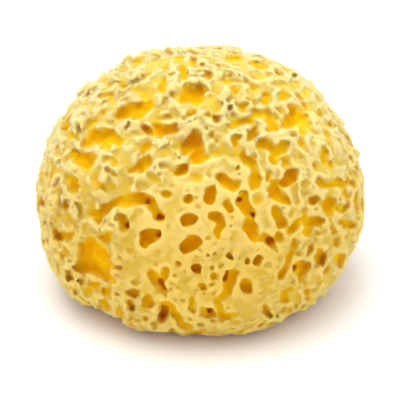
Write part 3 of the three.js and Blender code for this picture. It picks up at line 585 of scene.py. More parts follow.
class Body:
    """The sponge without its pores: one radius in each direction from the middle, in millimetres."""

    def __init__(self, given):
        self.half = np.array((given.width / 2, given.depth / 2, given.crown_rise)) / MM
        self.middle = np.array((0, 0, given.middle_height / MM))
        self.edge = given.cut_edge_round / MM
        self.distance = given.view_distance / MM
        tilt = given.view_elevation
        self.up = np.array((0, math.sin(tilt), math.cos(tilt)))
        self.to_eye = np.array((0, -math.cos(tilt), math.sin(tilt)))
        self.swellings = [
            (self.view_direction(right, above), height, spread / self.half[0])
            for right, above, height, spread in SWELLINGS
        ]
        self.smooth = self.view_direction(*SMOOTH_SPOT)
        self.ragged = self.view_direction(*RAGGED_SPOT)

    def view_direction(self, right, above):
        """The direction in which the view's point (right, above) meets the plain ball."""
        target = np.array((right, 0.0, 0.0)) + self.up * above
        eye = self.to_eye * self.distance
        ray = (target - eye) / self.half
        start = eye / self.half
        a = ray @ ray
        b = start @ ray
        c = start @ start - 1
        reach = max(b * b - a * c, 0)
        hit = (start + ray * (-b - math.sqrt(reach)) / a) * self.half
        hit[2] = max(hit[2], LOWEST_PORE - self.middle[2])
        return hit / np.linalg.norm(hit)

    def radius(self, x, y, z):
        """Radius in the unit directions (x, y, z): the ball, its lumps and swellings, cut off below.

        The cut is the plane at the middle's height below it, and the smooth minimum of the two
        radii, min(a, b) - h * h * k / 4 with h = max(k - |a - b|, 0) / k, rounds the edge.
        """
        a, b, c = self.half
        radius = 1 / np.sqrt((x / a) ** 2 + (y / b) ** 2 + (z / c) ** 2)
        lumps = LUMP_HEIGHT
        for along, (rate, start) in zip((x, y, z), LUMP_WAVES):
            lumps = lumps * np.sin(rate * along + start)
        radius += lumps
        for place, height, spread in self.swellings:
            away = (x - place[0]) ** 2 + (y - place[1]) ** 2 + (z - place[2]) ** 2
            radius += height * np.exp(-away / spread ** 2)
        cut = self.middle[2] / np.maximum(-z, 1e-3)
        h = np.maximum(self.edge - np.abs(radius - cut), 0) / self.edge
        return np.minimum(radius, cut) - h * h * self.edge / 4

    def raggedness(self, x, y, z):
        """How torn the skin is in directions (x, y, z), from 0 at the smooth spot to 1."""
        smooth = x * self.smooth[0] + y * self.smooth[1] + z * self.smooth[2]
        ragged = x * self.ragged[0] + y * self.ragged[1] + z * self.ragged[2]
        torn = 1 - smooth_step(smooth, *SMOOTH_REACH)
        return torn * (LEAST_TORN + (1 - LEAST_TORN) * smooth_step(ragged, *RAGGED_REACH))

    def surface(self, direction):
        """The point of the body in a direction, from the middle."""
        direction = direction / np.linalg.norm(direction)
        return direction * float(self.radius(*direction))

    def facing(self, point):
        """How far the skin at a point turns to the eye: 1 is square on, and 0 is the outline."""
        normal = point / self.half ** 2
        return float(normal @ self.to_eye / np.linalg.norm(normal))

    def under_cut(self, point):
        """Whether a point lies on the flat cut."""
        return point[2] < CUT_HEIGHT - self.middle[2]

    def on_pad(self, point, margin):
        """Whether a point lies on the whole skin around the origin."""
        return self.under_cut(point) and math.hypot(point[0], point[1]) < FLAT_PAD + margin


class Hole(NamedTuple):
    """One hole of a pore. If it is in view, seen is its (right, up, radius) there."""

    centre: np.ndarray
    radius: float
    depth: float
    seen: tuple = None


def chance(index, salt):
    """A number from 0 to 1 that looks random and is the same each time: one for each salt."""
    value = math.sin(12.9898 * index + 78.233 * salt) * 43758.5453
    return value - math.floor(value)


def spiral_direction(index, count):
    """Evenly spread directions: a spiral with the golden angle between its points."""
    z = 1 - (2 * index + 1) / count
    turn = index * math.pi * (3 - math.sqrt(5))
    across = math.sqrt(1 - z * z)
    return np.array((across * math.cos(turn), across * math.sin(turn), z))


def tangents(point):
    """Two directions along the skin at a point."""
    outward = point / np.linalg.norm(point)
    pole = np.array((1.0, 0, 0)) if abs(outward[2]) > 0.9 else np.array((0, 0, 1.0))
    east = np.cross(pole, outward)
    east /= np.linalg.norm(east)
    return east, np.cross(outward, east)


def pore_depth(share, radius):
    """Depth of a hole, as in the solid but for the ends of canals and the floors of wide pits."""
    if share == CANAL_DEPTH:
        return CANAL_START + CANAL_OPEN * share * radius
    return min(share * radius, DEEPEST_PIT)


def front_hole(body, right, above, radius, share):
    """A hole in view, where its outline is round as it is seen."""
    centre = body.surface(body.view_direction(right, above))
    size = radius * RIM_WIDENING * (1 - centre @ body.to_eye / body.distance)
    return Hole(centre, size, pore_depth(share, size), (right, above, radius))


def far_holes(body, index, has_room):
    """A wandering chain of one to four holes from a point of the spiral, where there is room."""
    point = body.surface(spiral_direction(index, FAR_PORES))
    kind = chance(index, 1)
    is_well = kind > 1 - FAR_WELLS
    share = DIMPLE_DEPTH if kind < FAR_DIMPLES else WELL_DEPTH if is_well else PIT_DEPTH
    number = 1 if is_well else 1 + math.floor(FAR_CHAIN * chance(index, 2) ** 1.5)
    heading = 2 * math.pi * chance(index, 3)
    least, most = FAR_PORE_RADIUS
    chain = []
    for step in range(number):
        radius = least + (most - least) * chance(index, 4 + step) ** 2
        if not has_room(point, radius):
            break
        chain.append(Hole(point, radius, pore_depth(share, radius)))
        heading += FAR_BEND * (chance(index, 8 + step) - 0.5)
        east, north = tangents(point)
        stride = FAR_STRIDE * radius
        point = body.surface(point + stride * (east * math.cos(heading) + north * math.sin(heading)))
    return share, chain


def hole_between(body, here, there, part, share):
    """The hole at a part of the way from one hole of a chain to the next."""

    def mix(a, b):
        """The value at that part of the way from a to b."""
        return a * (1 - part) + b * part

    if here.seen:
        return front_hole(body, *map(mix, here.seen, there.seen), share)
    centre = body.surface(mix(here.centre, there.centre))
    return Hole(centre, mix(here.radius, there.radius), mix(here.depth, there.depth))


def close_up(body, chain, share):
    """Fills in the gaps between a chain's holes, to half their radius."""
    closed = chain[:1]
    for here, there in zip(chain, chain[1:]):
        away = np.linalg.norm(here.centre - there.centre)
        steps = math.ceil(away / (0.5 * max(here.radius, there.radius)))
        for step in range(1, steps):
            closed.append(hole_between(body, here, there, step / steps, share))
        closed.append(there)
    return closed


def large_holes(body):
    """The holes of the pores in view and of the far ones, with every chain closed up."""
    chains = []
    for share, holes in FRONT_PORES:
        chains.append((share, [front_hole(body, *hole, share) for hole in holes]))
    front = [hole for _, chain in chains for hole in chain]
    centres = np.array([hole.centre for hole in front])
    stretched = np.array([hole.radius / max(body.facing(hole.centre), LEAST_TURN) for hole in front])

    def has_room(point, radius):
        """Whether a far pore is off the whole skin, out of view and clear of the pores in view."""
        if body.on_pad(point, radius):
            return False
        if not body.under_cut(point) and body.facing(point) > FAR_FACING:
            return False
        away = np.linalg.norm(centres - point, axis=1)
        return bool(np.all(away > radius + stretched + PORE_WALL))

    chains += [far_holes(body, index, has_room) for index in range(FAR_PORES)]
    return [hole for share, chain in chains for hole in close_up(body, chain, share)]


def small_holes(body, holes, kind):
    """Single small holes near the points of a spiral, where they keep clear of the others."""
    centres = np.array([hole.centre for hole in holes])
    radii = np.array([hole.radius for hole in holes])
    least, most = kind.radii
    shallow, deep = kind.depths
    small = []
    for index in range(kind.places):
        draws = [chance(index, kind.salt + draw) for draw in range(5)]
        direction = spiral_direction(index, kind.places)
        east, north = tangents(direction)
        direction = unit(direction + STRAY * (east * draws[0] + north * draws[1]))
        point = body.surface(direction)
        radius = least + (most - least) * draws[2] ** 2
        if body.on_pad(point, radius) or draws[3] > PLACES_TAKEN:
            continue
        if body.raggedness(*direction) < kind.raggedness:
            continue
        if np.all(np.linalg.norm(centres - point, axis=1) > radius + radii + kind.wall):
            share = shallow + (deep - shallow) * draws[4]
            small.append(Hole(point, radius, share * radius))
    return small


class Grid:
    """A grid of points around the sponge, in millimetres from its middle."""

    def __init__(self, body, step):
        reach = body.half + GRID_MARGIN
        self.step = step
        self.low = np.array((-reach[0], -reach[1], -body.middle[2] - GRID_BELOW))
        self.shape = tuple(np.ceil((reach - self.low) / step).astype(int) + 1)
        self.axes = [
            (low + step * np.arange(count)).astype(np.float32)
            for low, count in zip(self.low, self.shape)
        ]

    def block(self, low, high):
        """Slices of the grid that cover a box."""
        first = np.floor((np.asarray(low) - self.low) / self.step).astype(int)
        last = np.ceil((np.asarray(high) - self.low) / self.step).astype(int) + 1
        ends = zip(np.clip(first, 0, self.shape), np.clip(last, 0, self.shape))
        return tuple(slice(a, b) for a, b in ends)


def spline_weights(count, cell):
    """Weights that spread lattice values a cell apart over count points, by cubic B-splines."""
    place = np.arange(count) / cell
    nodes = np.arange(int(math.ceil(place[-1])) + 4) - 1
    away = np.abs(place[:, None] - nodes[None, :])
    inner = 2 / 3 - away ** 2 + away ** 3 / 2
    outer = np.maximum(2 - away, 0) ** 3 / 6
    return np.where(away < 1, inner, outer).astype(np.float32)


def noise(grid, size, seed):
    """Smooth noise with lumps of about a size, mean 0 and spread 1, on the grid.

    Random numbers on a coarse lattice are spread over the fine grid by cubic B-splines, one axis
    after another.
    """
    weights = [spline_weights(count, size / grid.step) for count in grid.shape]
    lattice = np.random.default_rng(seed).standard_normal([w.shape[1] for w in weights])
    values = lattice.astype(np.float32)
    values = np.tensordot(weights[0], values, (1, 0))
    values = np.einsum("yb,xbc->xyc", weights[1], values, optimize=True)
    values = values @ weights[2].T
    return values / values.std()


def smooth_min(a, b, width):
    """The lesser of two fields, with the crease between them rounded over a width."""
    h = np.maximum(width - np.abs(a - b), 0) / width
    return np.minimum(a, b) - h * h * width / 4


def smooth_step(value, low, high):
    """Rises from 0 at low to 1 at high."""
    share = np.clip((value - low) / (high - low), 0, 1)
    return share * share * (3 - 2 * share)


def by_raggedness(pair, ragged):
    """A measure of the skin: its value where the skin is whole, and what raggedness adds."""
    whole, more = pair
    return whole + more * ragged


def carve_hole(body, grid, shifts, outer, pores, hole, blend):
    """Adds one hole to the field of pores, where it is negative.

    The hole is a tube with a flattened round floor. Out of view it runs square to the skin. In view
    its mouth is round as it is seen, and it goes down between the eye's ray and the skin's normal,
    which it leans to by HOLE_LEAN. With a the way from its axis, e the way past the floor's centre
    over the floor's flatness and r its radius, the field is sqrt(a^2 + e^2) - r.
    """
    centre, radius, depth, seen = hole
    normal = centre / np.linalg.norm(centre)
    turned = max(body.facing(centre), LEAST_TURN) if seen else 1
    lean = HOLE_LEAN if seen else 1
    depth *= max(turned, LEAST_SLANT)
    bowl = min(FLOOR_ROUND, depth / radius)
    full = max(depth - bowl * radius, LEAST_STRAIGHT)
    floor = centre - full * (lean * normal + (1 - lean) * body.to_eye / turned)
    reach = NEAR_HOLE[0] * radius / turned + NEAR_HOLE[1]
    part = grid.block(np.minimum(centre, floor) - reach, np.maximum(centre, floor) + reach)
    x = grid.axes[0][part[0], None, None] + shifts[0][part]
    y = grid.axes[1][None, part[1], None] + shifts[1][part]
    z = grid.axes[2][None, None, part[2]] + shifts[2][part]
    if seen:
        towards = y * body.to_eye[1] + z * body.to_eye[2]
        nearer = body.distance / (body.distance - towards)
        inward = lean * np.maximum(outer[part], 0)
        right = x * nearer - seen[0] + inward * normal[0]
        above = (y * body.up[1] + z * body.up[2]) * nearer - seen[1] + inward * (normal @ body.up)
        across = (right * right + above * above) / nearer ** 2
    else:
        x, y, z = x - centre[0], y - centre[1], z - centre[2]
        down = x * normal[0] + y * normal[1] + z * normal[2]
        across = np.maximum(x * x + y * y + z * z - down * down, 0)
    past = np.maximum(outer[part] - full, 0) / bowl
    shape = np.sqrt(across + past * past) - MOUTH_WIDENING * radius
    pores[part] = smooth_min(pores[part], shape, blend)


def place_shifts(grid, ragged):
    """How far the pores' places are shifted along each axis, so that no hole is quite round."""
    return [
        by_raggedness(WANDER_SHARE, ragged) * WANDER_SHIFT * noise(grid, WANDER, seed)
        + by_raggedness(TREMOR_SHIFT, ragged) * noise(grid, TREMOR, seed + TREMOR_SEED)
        for seed in SHIFT_SEEDS
    ]


def sponge_field(body, grid):
    """The sponge as a field on the grid, negative inside, and how deep each place counts as lying.

    The body is |p| - R(p / |p|), less the rolls of its skin. Layers of noise n then shape it: hollows
    and crests by |n|, pimples by n, tufts where n is high, notches where the side meets the cut, and
    frills beside the pores by exp(-(w / k)^2), with w the way from the crests' line and k their
    width. The pores are cut out by a smooth maximum with their own field turned inside out, and the
    felt is a last fine layer over all.

    A place counts as lying as deep as it is under the rolls, and deeper in hollows, where the mean
    of the field around it is negative. That depth gives the painted shade of hollows and pores.
    """
    x = grid.axes[0][:, None, None]
    y = grid.axes[1][None, :, None]
    z = grid.axes[2][None, None, :]
    away = np.sqrt(x * x + y * y + z * z)
    away = np.maximum(away, 1)
    skin = away - body.radius(x / away, y / away, z / away).astype(np.float32)
    ragged = body.raggedness(x / away, y / away, z / away).astype(np.float32)
    ragged *= LOW_TORN + (1 - LOW_TORN) * smooth_step(z, *LOW_REACH)

    height = z + body.middle[2]
    near_cut = smooth_step(-height, *CUT_REACH)
    free = 1 - near_cut
    skin -= by_raggedness(ROLL_HEIGHT, ragged) * noise(grid, *ROLLS) * free
    outer = -skin

    tilt, *rise = CROWN
    crown = smooth_step(z + tilt * y, *rise)
    hollows = np.abs(noise(grid, *HOLLOWS)) - HOLLOW_LEVEL
    skin += (HOLLOW_DEPTH + ragged * by_raggedness(RAGGED_HOLLOW, crown)) * hollows * free
    skin += PIMPLE_HEIGHT * noise(grid, *PIMPLES) * free
    tufts = np.clip(noise(grid, *TUFTS) - TUFT_LEVEL, 0, TUFT_MOST)
    skin -= TUFT_HEIGHT * ragged ** TUFT_POWER * tufts * free
    outer_edge = smooth_step(np.hypot(x, y), *NOTCH_RING)
    outer_edge = outer_edge * (1 - smooth_step(height, *NOTCH_HEIGHTS))
    skin += NOTCH_DEPTH * outer_edge * np.maximum(noise(grid, *NOTCHES) - NOTCH_LEVEL, 0)

    shifts = place_shifts(grid, ragged)
    pores = np.full(grid.shape, NO_HOLE, np.float32)
    holes = large_holes(body)
    for hole in holes:
        carve_hole(body, grid, shifts, outer, pores, hole, HOLE_BLEND)
    beside = (pores - FRILL_LINE) / FRILL_WIDTH
    frills = np.maximum(FRILL_MEAN + FRILL_SPREAD * noise(grid, *FRILLS), 0)
    frills *= np.exp(-beside * beside)
    skin -= by_raggedness(FRILL_HEIGHT, ragged) * frills * free
    for kind in SMALL_PORES:
        small = small_holes(body, holes, kind)
        for hole in small:
            carve_hole(body, grid, shifts, outer, pores, hole, kind.blend)
        holes += small

    field = -smooth_min(-skin, pores, by_raggedness(RIM_ROUND, ragged))
    field += FELT_HEIGHT * noise(grid, *FELT) * (1 - FELT_ON_CUT * near_cut)
    # Narrow hollows count as deeper by the mean field around them, which paints shade into them
    around = blur(np.clip(field, -HOLLOW_MOST, HOLLOW_MOST), round(HOLLOW_REACH / grid.step))
    return field, outer - HOLLOW_SHARE * around


def blur(values, reach):
    """Values averaged over a box of reach points to each side, twice along each axis.

    A mean is the difference of two running sums, over the number of points between them.
    """
    width = 2 * reach + 1
    for axis in (0, 0, 1, 1, 2, 2):
        edges = [(0, 0)] * 3
        edges[axis] = (reach + 1, reach)
        total = np.cumsum(np.pad(values, edges, "edge"), axis=axis, dtype=np.float64)
        front = np.take(total, range(width, total.shape[axis]), axis)
        back = np.take(total, range(total.shape[axis] - width), axis)
        values = ((front - back) / width).astype(np.float32)
    return values


def zero_surface(grid, field):
    """The surface where the field changes sign, as (points, quads).

    Each cell of the grid that the surface passes has one point, the mean of where its edges cross
    zero, and each edge of the grid that crosses zero joins the points of the four cells around it.
    """
    inside = field < 0
    cells = tuple(count - 1 for count in grid.shape)
    corners = [(i, j, k) for i in (0, 1) for j in (0, 1) for k in (0, 1)]
    filled = np.zeros(cells, np.int8)
    for i, j, k in corners:
        filled += inside[i:cells[0] + i, j:cells[1] + j, k:cells[2] + k]
    active = np.nonzero((filled > 0) & (filled < 8))
    numbers = np.full(cells, -1, np.int32)
    numbers[active] = np.arange(len(active[0]))

    total = np.zeros((len(active[0]), 3))
    crossings = np.zeros(len(active[0]))
    for axis in range(3):
        for first in corners:
            if first[axis]:
                continue
            second = list(first)
            second[axis] = 1
            a = field[active[0] + first[0], active[1] + first[1], active[2] + first[2]]
            b = field[active[0] + second[0], active[1] + second[1], active[2] + second[2]]
            crosses = (a < 0) != (b < 0)
            share = np.where(crosses, a / np.where(crosses, a - b, 1), 0)
            for direction in range(3):
                place = share if direction == axis else first[direction]
                total[:, direction] += np.where(crosses, place, 0)
            crossings += crosses
    points = grid.low + grid.step * (np.stack(active, axis=1) + total / crossings[:, None])

    quads = []
    for axis in range(3):
        second, third = (axis + 1) % 3, (axis + 2) % 3
        start = [slice(None)] * 3
        start[axis] = slice(0, -1)
        start[second] = slice(1, -1)
        start[third] = slice(1, -1)
        end = list(start)
        end[axis] = slice(1, None)
        a = inside[tuple(start)]
        b = inside[tuple(end)]
        for outward, mask in ((True, a & ~b), (False, ~a & b)):
            edge = list(np.nonzero(mask))
            edge[second] = edge[second] + 1
            edge[third] = edge[third] + 1
            around = []
            for back_second, back_third in ((1, 1), (0, 1), (0, 0), (1, 0)):
                cell = list(edge)
                cell[second] = edge[second] - back_second
                cell[third] = edge[third] - back_third
                around.append(numbers[tuple(cell)])
            quad = np.stack(around, axis=1)
            quads.append(quad if outward else quad[:, ::-1])
    return points, np.concatenate(quads)


def largest_piece(points, quads):
    """Keeps only the largest connected piece of a surface, so that no crumbs float free.

    Each point takes the least label among its neighbours, until one label is left in each piece.
    """
    label = np.arange(len(points))
    a = quads.ravel()
    b = np.roll(quads, 1, axis=1).ravel()
    while True:
        least = np.minimum(label[a], label[b])
        lower = label.copy()
        np.minimum.at(lower, a, least)
        np.minimum.at(lower, b, least)
        lower = lower[lower]
        if np.array_equal(lower, label):
            break
        label = lower
    names, counts = np.unique(label, return_counts=True)
    kept = label == names[np.argmax(counts)]
    numbers = np.cumsum(kept) - 1
    return points[kept], numbers[quads[kept[quads[:, 0]]]]


def metres(points):
    """Points in millimetres as the flat list of metres that a mesh takes."""
    return (points * MM).astype(np.float32).ravel()


def add_mesh(name, points, faces):
    """A new object from points in millimetres from the frame's origin, and its faces."""
    mesh = bpy.data.meshes.new(name)
    mesh.vertices.add(len(points))
    mesh.vertices.foreach_set("co", metres(points))
    sides = faces.shape[1]
    mesh.loops.add(faces.size)
    mesh.loops.foreach_set("vertex_index", faces.astype(np.int32).ravel())
    mesh.polygons.add(len(faces))
    mesh.polygons.foreach_set("loop_start", np.arange(0, faces.size, sides, dtype=np.int32))
    mesh.polygons.foreach_set("loop_total", np.full(len(faces), sides, dtype=np.int32))
    mesh.update(calc_edges=True)
    mesh.validate()
    made = bpy.data.objects.new(name, mesh)
    bpy.context.scene.collection.objects.link(made)
    return made


def thin_out(made, faces):
    """Reduces an object's mesh to a number of triangles and applies it."""
    before = sum(len(polygon.vertices) - 2 for polygon in made.data.polygons)
    reduce = made.modifiers.new("thin out", "DECIMATE")
    reduce.ratio = min(1.0, faces / before)
    reduce.use_collapse_triangulate = True
    graph = bpy.context.evaluated_depsgraph_get()
    mesh = bpy.data.meshes.new_from_object(made.evaluated_get(graph))
    made.modifiers.clear()
    old = made.data
    made.data = mesh
    mesh.name = made.name
    bpy.data.meshes.remove(old)


def mesh_points(made):
    """An object's vertices as an array, in millimetres."""
    points = np.empty(len(made.data.vertices) * 3, np.float32)
    made.data.vertices.foreach_get("co", points)
    return points.reshape(-1, 3) / MM


def keep_above_cut(made):
    """Brings every vertex that lies under the cut up to it."""
    points = mesh_points(made)
    points[:, 2] = np.maximum(points[:, 2], 0)
    made.data.vertices.foreach_set("co", metres(points))
    made.data.update()


def sample(grid, values, points):
    """A field's values at points, weighted between the eight grid points around each."""
    place = (points - grid.low) / grid.step
    first = np.clip(np.floor(place).astype(int), 0, np.array(grid.shape) - 2)
    share = place - first
    total = np.zeros(len(points))
    for corner in np.ndindex(2, 2, 2):
        weight = np.prod(np.where(corner, share, 1 - share), axis=1)
        total += weight * values[tuple((first + corner).T)]
    return total


def mark_depth(made, below):
    """Gives each vertex how far it lies below the skin, in millimetres, as the attribute "below"."""
    attribute = made.data.attributes.new("below", "FLOAT", "POINT")
    attribute.data.foreach_set("value", below.astype(np.float32).ravel())


def unit(vectors):
    """Vectors at length 1."""
    return vectors / np.linalg.norm(vectors, axis=-1, keepdims=True)


def less_in_pores(fall, below):
    """Falls from 1 on the skin by a share, from one depth to another."""
    share, start, end = fall
    return 1 - share * smooth_step(below, start, end)


def fibre_roots(made, count, seed):
    """Random points on a mesh of triangles, as (points, normals, below).

    They are spread evenly by area, and more thinly down in the pores. With a and b random and
    a + b at most 1, a point lies at p (1 - a - b) + q a + r b in the triangle pqr.
    """
    rng = np.random.default_rng(seed)
    corners = np.empty(len(made.data.polygons) * 3, np.int32)
    made.data.polygons.foreach_get("vertices", corners)
    corners = corners.reshape(-1, 3)
    below = np.empty(len(made.data.vertices), np.float32)
    made.data.attributes["below"].data.foreach_get("value", below)
    first, second, third = np.moveaxis(mesh_points(made)[corners], 1, 0)
    normals = np.cross(second - first, third - first)
    areas = np.linalg.norm(normals, axis=1)
    odds = areas * less_in_pores(FEWER_IN_PORES, below[corners].mean(axis=1))
    picked = rng.choice(len(corners), count, p=odds / odds.sum())
    a, b = rng.random((2, count, 1))
    over = a + b > 1
    a, b = np.where(over, 1 - a, a), np.where(over, 1 - b, b)
    points = first[picked] * (1 - a - b) + second[picked] * a + third[picked] * b
    shares = np.concatenate((1 - a - b, a, b), axis=1)
    below = (below[corners[picked]] * shares).sum(axis=1)
    return points, normals[picked] / areas[picked, None], below


def grow_fibres(name, body, made, count, seed):
    """A piece of fine fibres that lie and stand on the skin, each a thin spike of three sides.

    With n the skin's normal and g a random vector, a fibre runs along g + n, or along g + 3 n if it
    is one of those that stand. Its root is a triangle around that line, and its tip one point.
    """
    rng = np.random.default_rng(seed)
    points, normals, below = fibre_roots(made, count, seed)
    ragged = body.raggedness(*unit(points - body.middle).T)
    stands = rng.random(count) < STANDING_FIBRES
    way = unit(rng.standard_normal((count, 3)) + np.where(stands, STANDING, 1)[:, None] * normals)
    length = by_raggedness(FIBRE_LENGTH, ragged) * (SHORTEST_FIBRE + rng.random(count))
    length *= less_in_pores(SHORTER_IN_PORES, below)
    thick = rng.uniform(*FIBRE_THICKNESS, (count, 1, 1))
    root = points - FIBRE_ROOT * normals
    tip = root + way * length[:, None]
    east = unit(np.cross(way, rng.standard_normal((count, 3))))
    north = np.cross(way, east)
    angles = np.array((0, 2, 4)) * math.pi / 3
    ring = np.cos(angles)[:, None] * east[:, None] + np.sin(angles)[:, None] * north[:, None]
    corners = np.concatenate((root[:, None] + thick * ring, tip[:, None]), axis=1)
    lowest, more = LOWEST_FIBRE
    corners[..., 2] = np.maximum(corners[..., 2], lowest + more * rng.random((count, 4)))
    one = np.array(((0, 2, 1), (0, 1, 3), (1, 2, 3), (2, 0, 3)))
    faces = (one[None] + 4 * np.arange(count)[:, None, None]).reshape(-1, 3)
    fibres = add_mesh(name, corners.reshape(-1, 3), faces)
    # Painted highlight: each fibre counts as higher by part of its length, so its tip turns pale
    mark_depth(fibres, below[:, None] - length[:, None] * np.array(FIBRE_HIGHLIGHT_LIFT))
    return fibres


def add_node(tree, kind, values=None, **settings):
    """A new node with its settings, and its sockets' values by their names or numbers."""
    made = tree.nodes.new(kind)
    for name, value in settings.items():
        setattr(made, name, value)
    for socket, value in (values or {}).items():
        made.inputs[socket].default_value = value
    return made


def link(tree, start, output, end, entry):
    """Joins two nodes' sockets."""
    tree.links.new(start.outputs[output], end.inputs[entry])


def add_noise(tree, place, scale, detail, roughness=0.5):
    """Noise on Object coordinates, with a number of lumps to the metre."""
    values = {"Scale": scale, "Detail": detail, "Roughness": roughness}
    made = add_node(tree, "ShaderNodeTexNoise", values)
    link(tree, place, "Object", made, "Vector")
    return made


def add_ramp(tree, stops, interpolation):
    """A ramp through stops, each (position, colour), in rising order."""
    made = add_node(tree, "ShaderNodeValToRGB")
    made.color_ramp.interpolation = interpolation
    elements = made.color_ramp.elements
    for element, (position, colour) in zip(elements, (stops[0], stops[-1])):
        element.position = position
        element.color = (*colour, 1)
    for position, colour in stops[1:-1]:
        elements.new(position).color = (*colour, 1)
    return made


def sponge_material(given, name, sheen):
    """Felt of fine fibres, soft and see-through: pale yellow on the skin, amber down in the pores.

    Noise shifts the depth that colours it, so that the colours run into each other in blotches and
    speckles. The paler crests are a painted highlight, and the darker amber down in the hollows and
    pores is painted shade. All colours turn darker and warmer low down, most where the sponge meets
    the floor, as painted shade.
    """
    material = bpy.data.materials.new(name)
    material.use_nodes = True
    tree = material.node_tree
    tree.nodes.clear()
    output = add_node(tree, "ShaderNodeOutputMaterial")
    shader = add_node(tree, "ShaderNodeBsdfPrincipled", {
        "Roughness": 0.9,
        "Specular IOR Level": 0.0,
        "Sheen Weight": sheen,
        "Subsurface Weight": 1.0,
        "Subsurface Radius": (1.0, 0.6, 0.15),
        "Subsurface Scale": 0.004,
    })
    link(tree, shader, "BSDF", output, "Surface")

    place = add_node(tree, "ShaderNodeTexCoord")
    below = add_node(tree, "ShaderNodeAttribute", attribute_name="below")
    depth = add_node(tree, "ShaderNodeMapRange", {"From Min": FRILL_LEVEL, "From Max": DEEP_LEVEL})
    link(tree, below, "Fac", depth, "Value")
    shifted = add_node(tree, "ShaderNodeMath", {1: MOTTLE_MEAN}, operation="SUBTRACT")
    link(tree, depth, "Result", shifted, 0)
    for share, scale, detail in (SPECKLES, BLOTCHES):
        mottled = add_node(tree, "ShaderNodeMath", {1: share}, operation="MULTIPLY_ADD")
        link(tree, add_noise(tree, place, scale, detail), "Fac", mottled, 0)
        link(tree, shifted, "Value", mottled, 2)
        shifted = mottled
    # Painted light by depth: a highlight on crests, the skin's own colour, then shade down in pores
    colours = (
        (FRILL_LEVEL, given.crest_highlight_colour),
        (SKIN_LEVEL, given.skin_colour),
        (RIM_LEVEL, given.rim_colour),
        (PORE_LEVEL, given.pore_colour),
        (FLOOR_LEVEL, given.floor_colour),
        (DEEP_LEVEL, given.deep_colour),
    )
    span = DEEP_LEVEL - FRILL_LEVEL
    stops = [((level - FRILL_LEVEL) / span, colour) for level, colour in colours]
    by_depth = add_ramp(tree, stops, "LINEAR")
    link(tree, shifted, "Value", by_depth, "Fac")

    # Painted shade by height: all colours are multiplied darker and warmer low down and at the foot
    apart = add_node(tree, "ShaderNodeSeparateXYZ")
    link(tree, place, "Object", apart, "Vector")
    rise = add_node(tree, "ShaderNodeMath", {1: 1 / RAMP_HEIGHT}, operation="MULTIPLY")
    link(tree, apart, "Z", rise, 0)
    stops = [(0.0, given.foot_painted_shade)]
    stops += [(height / RAMP_HEIGHT, given.low_painted_shade) for height in LOW_HEIGHTS]
    stops += [(PLAIN_HEIGHT / RAMP_HEIGHT, (1, 1, 1))]
    shade_by_height = add_ramp(tree, stops, "EASE")
    link(tree, rise, "Value", shade_by_height, "Fac")
    # A Mix node's colour sockets are known by number: 6 and 7 go in and 2 comes out
    shaded = add_node(tree, "ShaderNodeMix", {0: 1}, data_type="RGBA", blend_type="MULTIPLY")
    link(tree, by_depth, "Color", shaded, 6)
    link(tree, shade_by_height, "Color", shaded, 7)
    link(tree, shaded, 2, shader, "Base Color")

    felt = add_noise(tree, place, *FELT_GRAIN)
    bump = add_node(tree, "ShaderNodeBump", {"Strength": 0.5, "Distance": 0.0005})
    link(tree, felt, "Fac", bump, "Height")
    link(tree, bump, "Normal", shader, "Normal")
    return material


def floor_material():
    """Plain white paper."""
    material = bpy.data.materials.new("floor_paper")
    material.use_nodes = True
    shader = material.node_tree.nodes["Principled BSDF"]
    shader.inputs["Base Color"].default_value = (0.9, 0.9, 0.9, 1)
    shader.inputs["Roughness"].default_value = 0.8
    return material


class SEA_SPONGE_OT_skin(bpy.types.Operator):
    """Grow the sponge's skin with all its pores"""

    bl_idname = "sea_sponge.skin"
    bl_label = "Grow the skin"

    def execute(self, context):
        given = settings()
        body = Body(given)
        grid = Grid(body, given.grain / MM)
        field, depth = sponge_field(body, grid)
        points, quads = zero_surface(grid, field)
        points, quads = largest_piece(points, quads)
        skin = add_mesh("sponge_skin", points + body.middle, quads)
        thin_out(skin, given.skin_faces)
        keep_above_cut(skin)
        mark_depth(skin, sample(grid, depth, mesh_points(skin) - body.middle))
        skin.data.shade_smooth()
        skin.data.materials.append(sponge_material(given, "sponge_felt", SKIN_SHEEN))
        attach(skin, "root")
        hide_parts("sponge")
        return {"FINISHED"}


class SEA_SPONGE_OT_fibres(bpy.types.Operator):
    """Grow the fine fibres that stand on the skin"""

    bl_idname = "sea_sponge.fibres"
    bl_label = "Grow the fibres"

    def execute(self, context):
        given = settings()
        skin = bpy.data.objects.get("sponge_skin")
        if skin is None:
            raise RuntimeError("The fibres need the skin: grow it first.")
        body = Body(given)
        finish = sponge_material(given, "sponge_fibres", FIBRE_SHEEN)
        for number in range(given.fibre_pieces):
            name = f"sponge_fibres_{number + 1}"
            fibres = grow_fibres(name, body, skin, given.fibres_each, FIBRE_SEED + number)
            fibres.data.materials.append(finish)
            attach(fibres, "root")
        return {"FINISHED"}


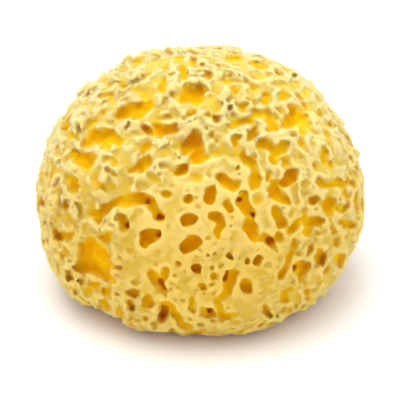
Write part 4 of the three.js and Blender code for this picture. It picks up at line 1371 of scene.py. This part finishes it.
class SEA_SPONGE_OT_stage(bpy.types.Operator):
    """Set out the floor, the lamp and the camera"""

    bl_idname = "sea_sponge.stage"
    bl_label = "Set the stage"

    def execute(self, context):
        given = settings()
        scene = context.scene
        body = Body(given)
        bpy.ops.mesh.primitive_plane_add(size=FLOOR_SIZE)
        floor = context.object
        floor.name = "floor"
        floor.data.materials.append(floor_material())

        sky = bpy.data.worlds.new("soft_studio")
        sky.use_nodes = True
        light = sky.node_tree.nodes["Background"]
        light.inputs["Color"].default_value = (1, 1, 1, 1)
        light.inputs["Strength"].default_value = SKY_STRENGTH
        scene.world = sky

        middle = Vector(body.middle * MM)
        lamp = bpy.data.lights.new("soft_lamp", "AREA")
        lamp.shape = "DISK"
        lamp.size = LAMP_SIZE
        lamp.energy = given.lamp_power
        lamp_object = bpy.data.objects.new("soft_lamp", lamp)
        lamp_object.location = middle + Vector(LAMP_PLACE)
        towards = middle - lamp_object.location
        lamp_object.rotation_euler = towards.to_track_quat("-Z", "Y").to_euler()
        scene.collection.objects.link(lamp_object)

        camera = bpy.data.cameras.new("camera")
        camera.lens = LENS
        camera.sensor_width = SENSOR_WIDTH
        camera.clip_start = NEAREST
        eye = bpy.data.objects.new("camera", camera)
        to_eye = Vector(body.to_eye)
        right_shift, up_shift = VIEW_SHIFT
        eye.location = middle + to_eye * given.view_distance
        eye.location += Vector((right_shift, 0, 0)) + Vector(body.up) * up_shift
        eye.rotation_euler = (-to_eye).to_track_quat("-Z", "Y").to_euler()
        scene.collection.objects.link(eye)
        scene.camera = eye
        scene.view_settings.view_transform = "Standard"
        return {"FINISHED"}


class SEA_SPONGE_PT_panel(bpy.types.Panel):
    """Lists the sponge's sizes and its steps"""

    bl_idname = "SEA_SPONGE_PT_panel"
    bl_label = "Sea sponge"
    bl_space_type = "VIEW_3D"
    bl_region_type = "UI"
    bl_category = "Sea sponge"

    def draw(self, context):
        for name in SpongeSettings.__annotations__:
            self.layout.prop(settings(), name)
        for operator in (SEA_SPONGE_OT_skin, SEA_SPONGE_OT_fibres, SEA_SPONGE_OT_stage):
            self.layout.operator(operator.bl_idname)


CLASSES = (
    SpongeSettings,
    SEA_SPONGE_OT_skin,
    SEA_SPONGE_OT_fibres,
    SEA_SPONGE_OT_stage,
    SEA_SPONGE_PT_panel,
)


def register():
    """Adds the sponge's classes and settings to Blender."""
    for each in CLASSES:
        bpy.utils.register_class(each)
    bpy.types.Scene.sea_sponge = bpy.props.PointerProperty(type=SpongeSettings)


def unregister():
    """Takes them out again."""
    del bpy.types.Scene.sea_sponge
    for each in reversed(CLASSES):
        bpy.utils.unregister_class(each)


def main():
    """Makes the sponge and its stage."""
    register()
    bpy.ops.sea_sponge.stage()
    bpy.ops.sea_sponge.skin()
    bpy.ops.sea_sponge.fibres()


if __name__ == "__main__":
    main()
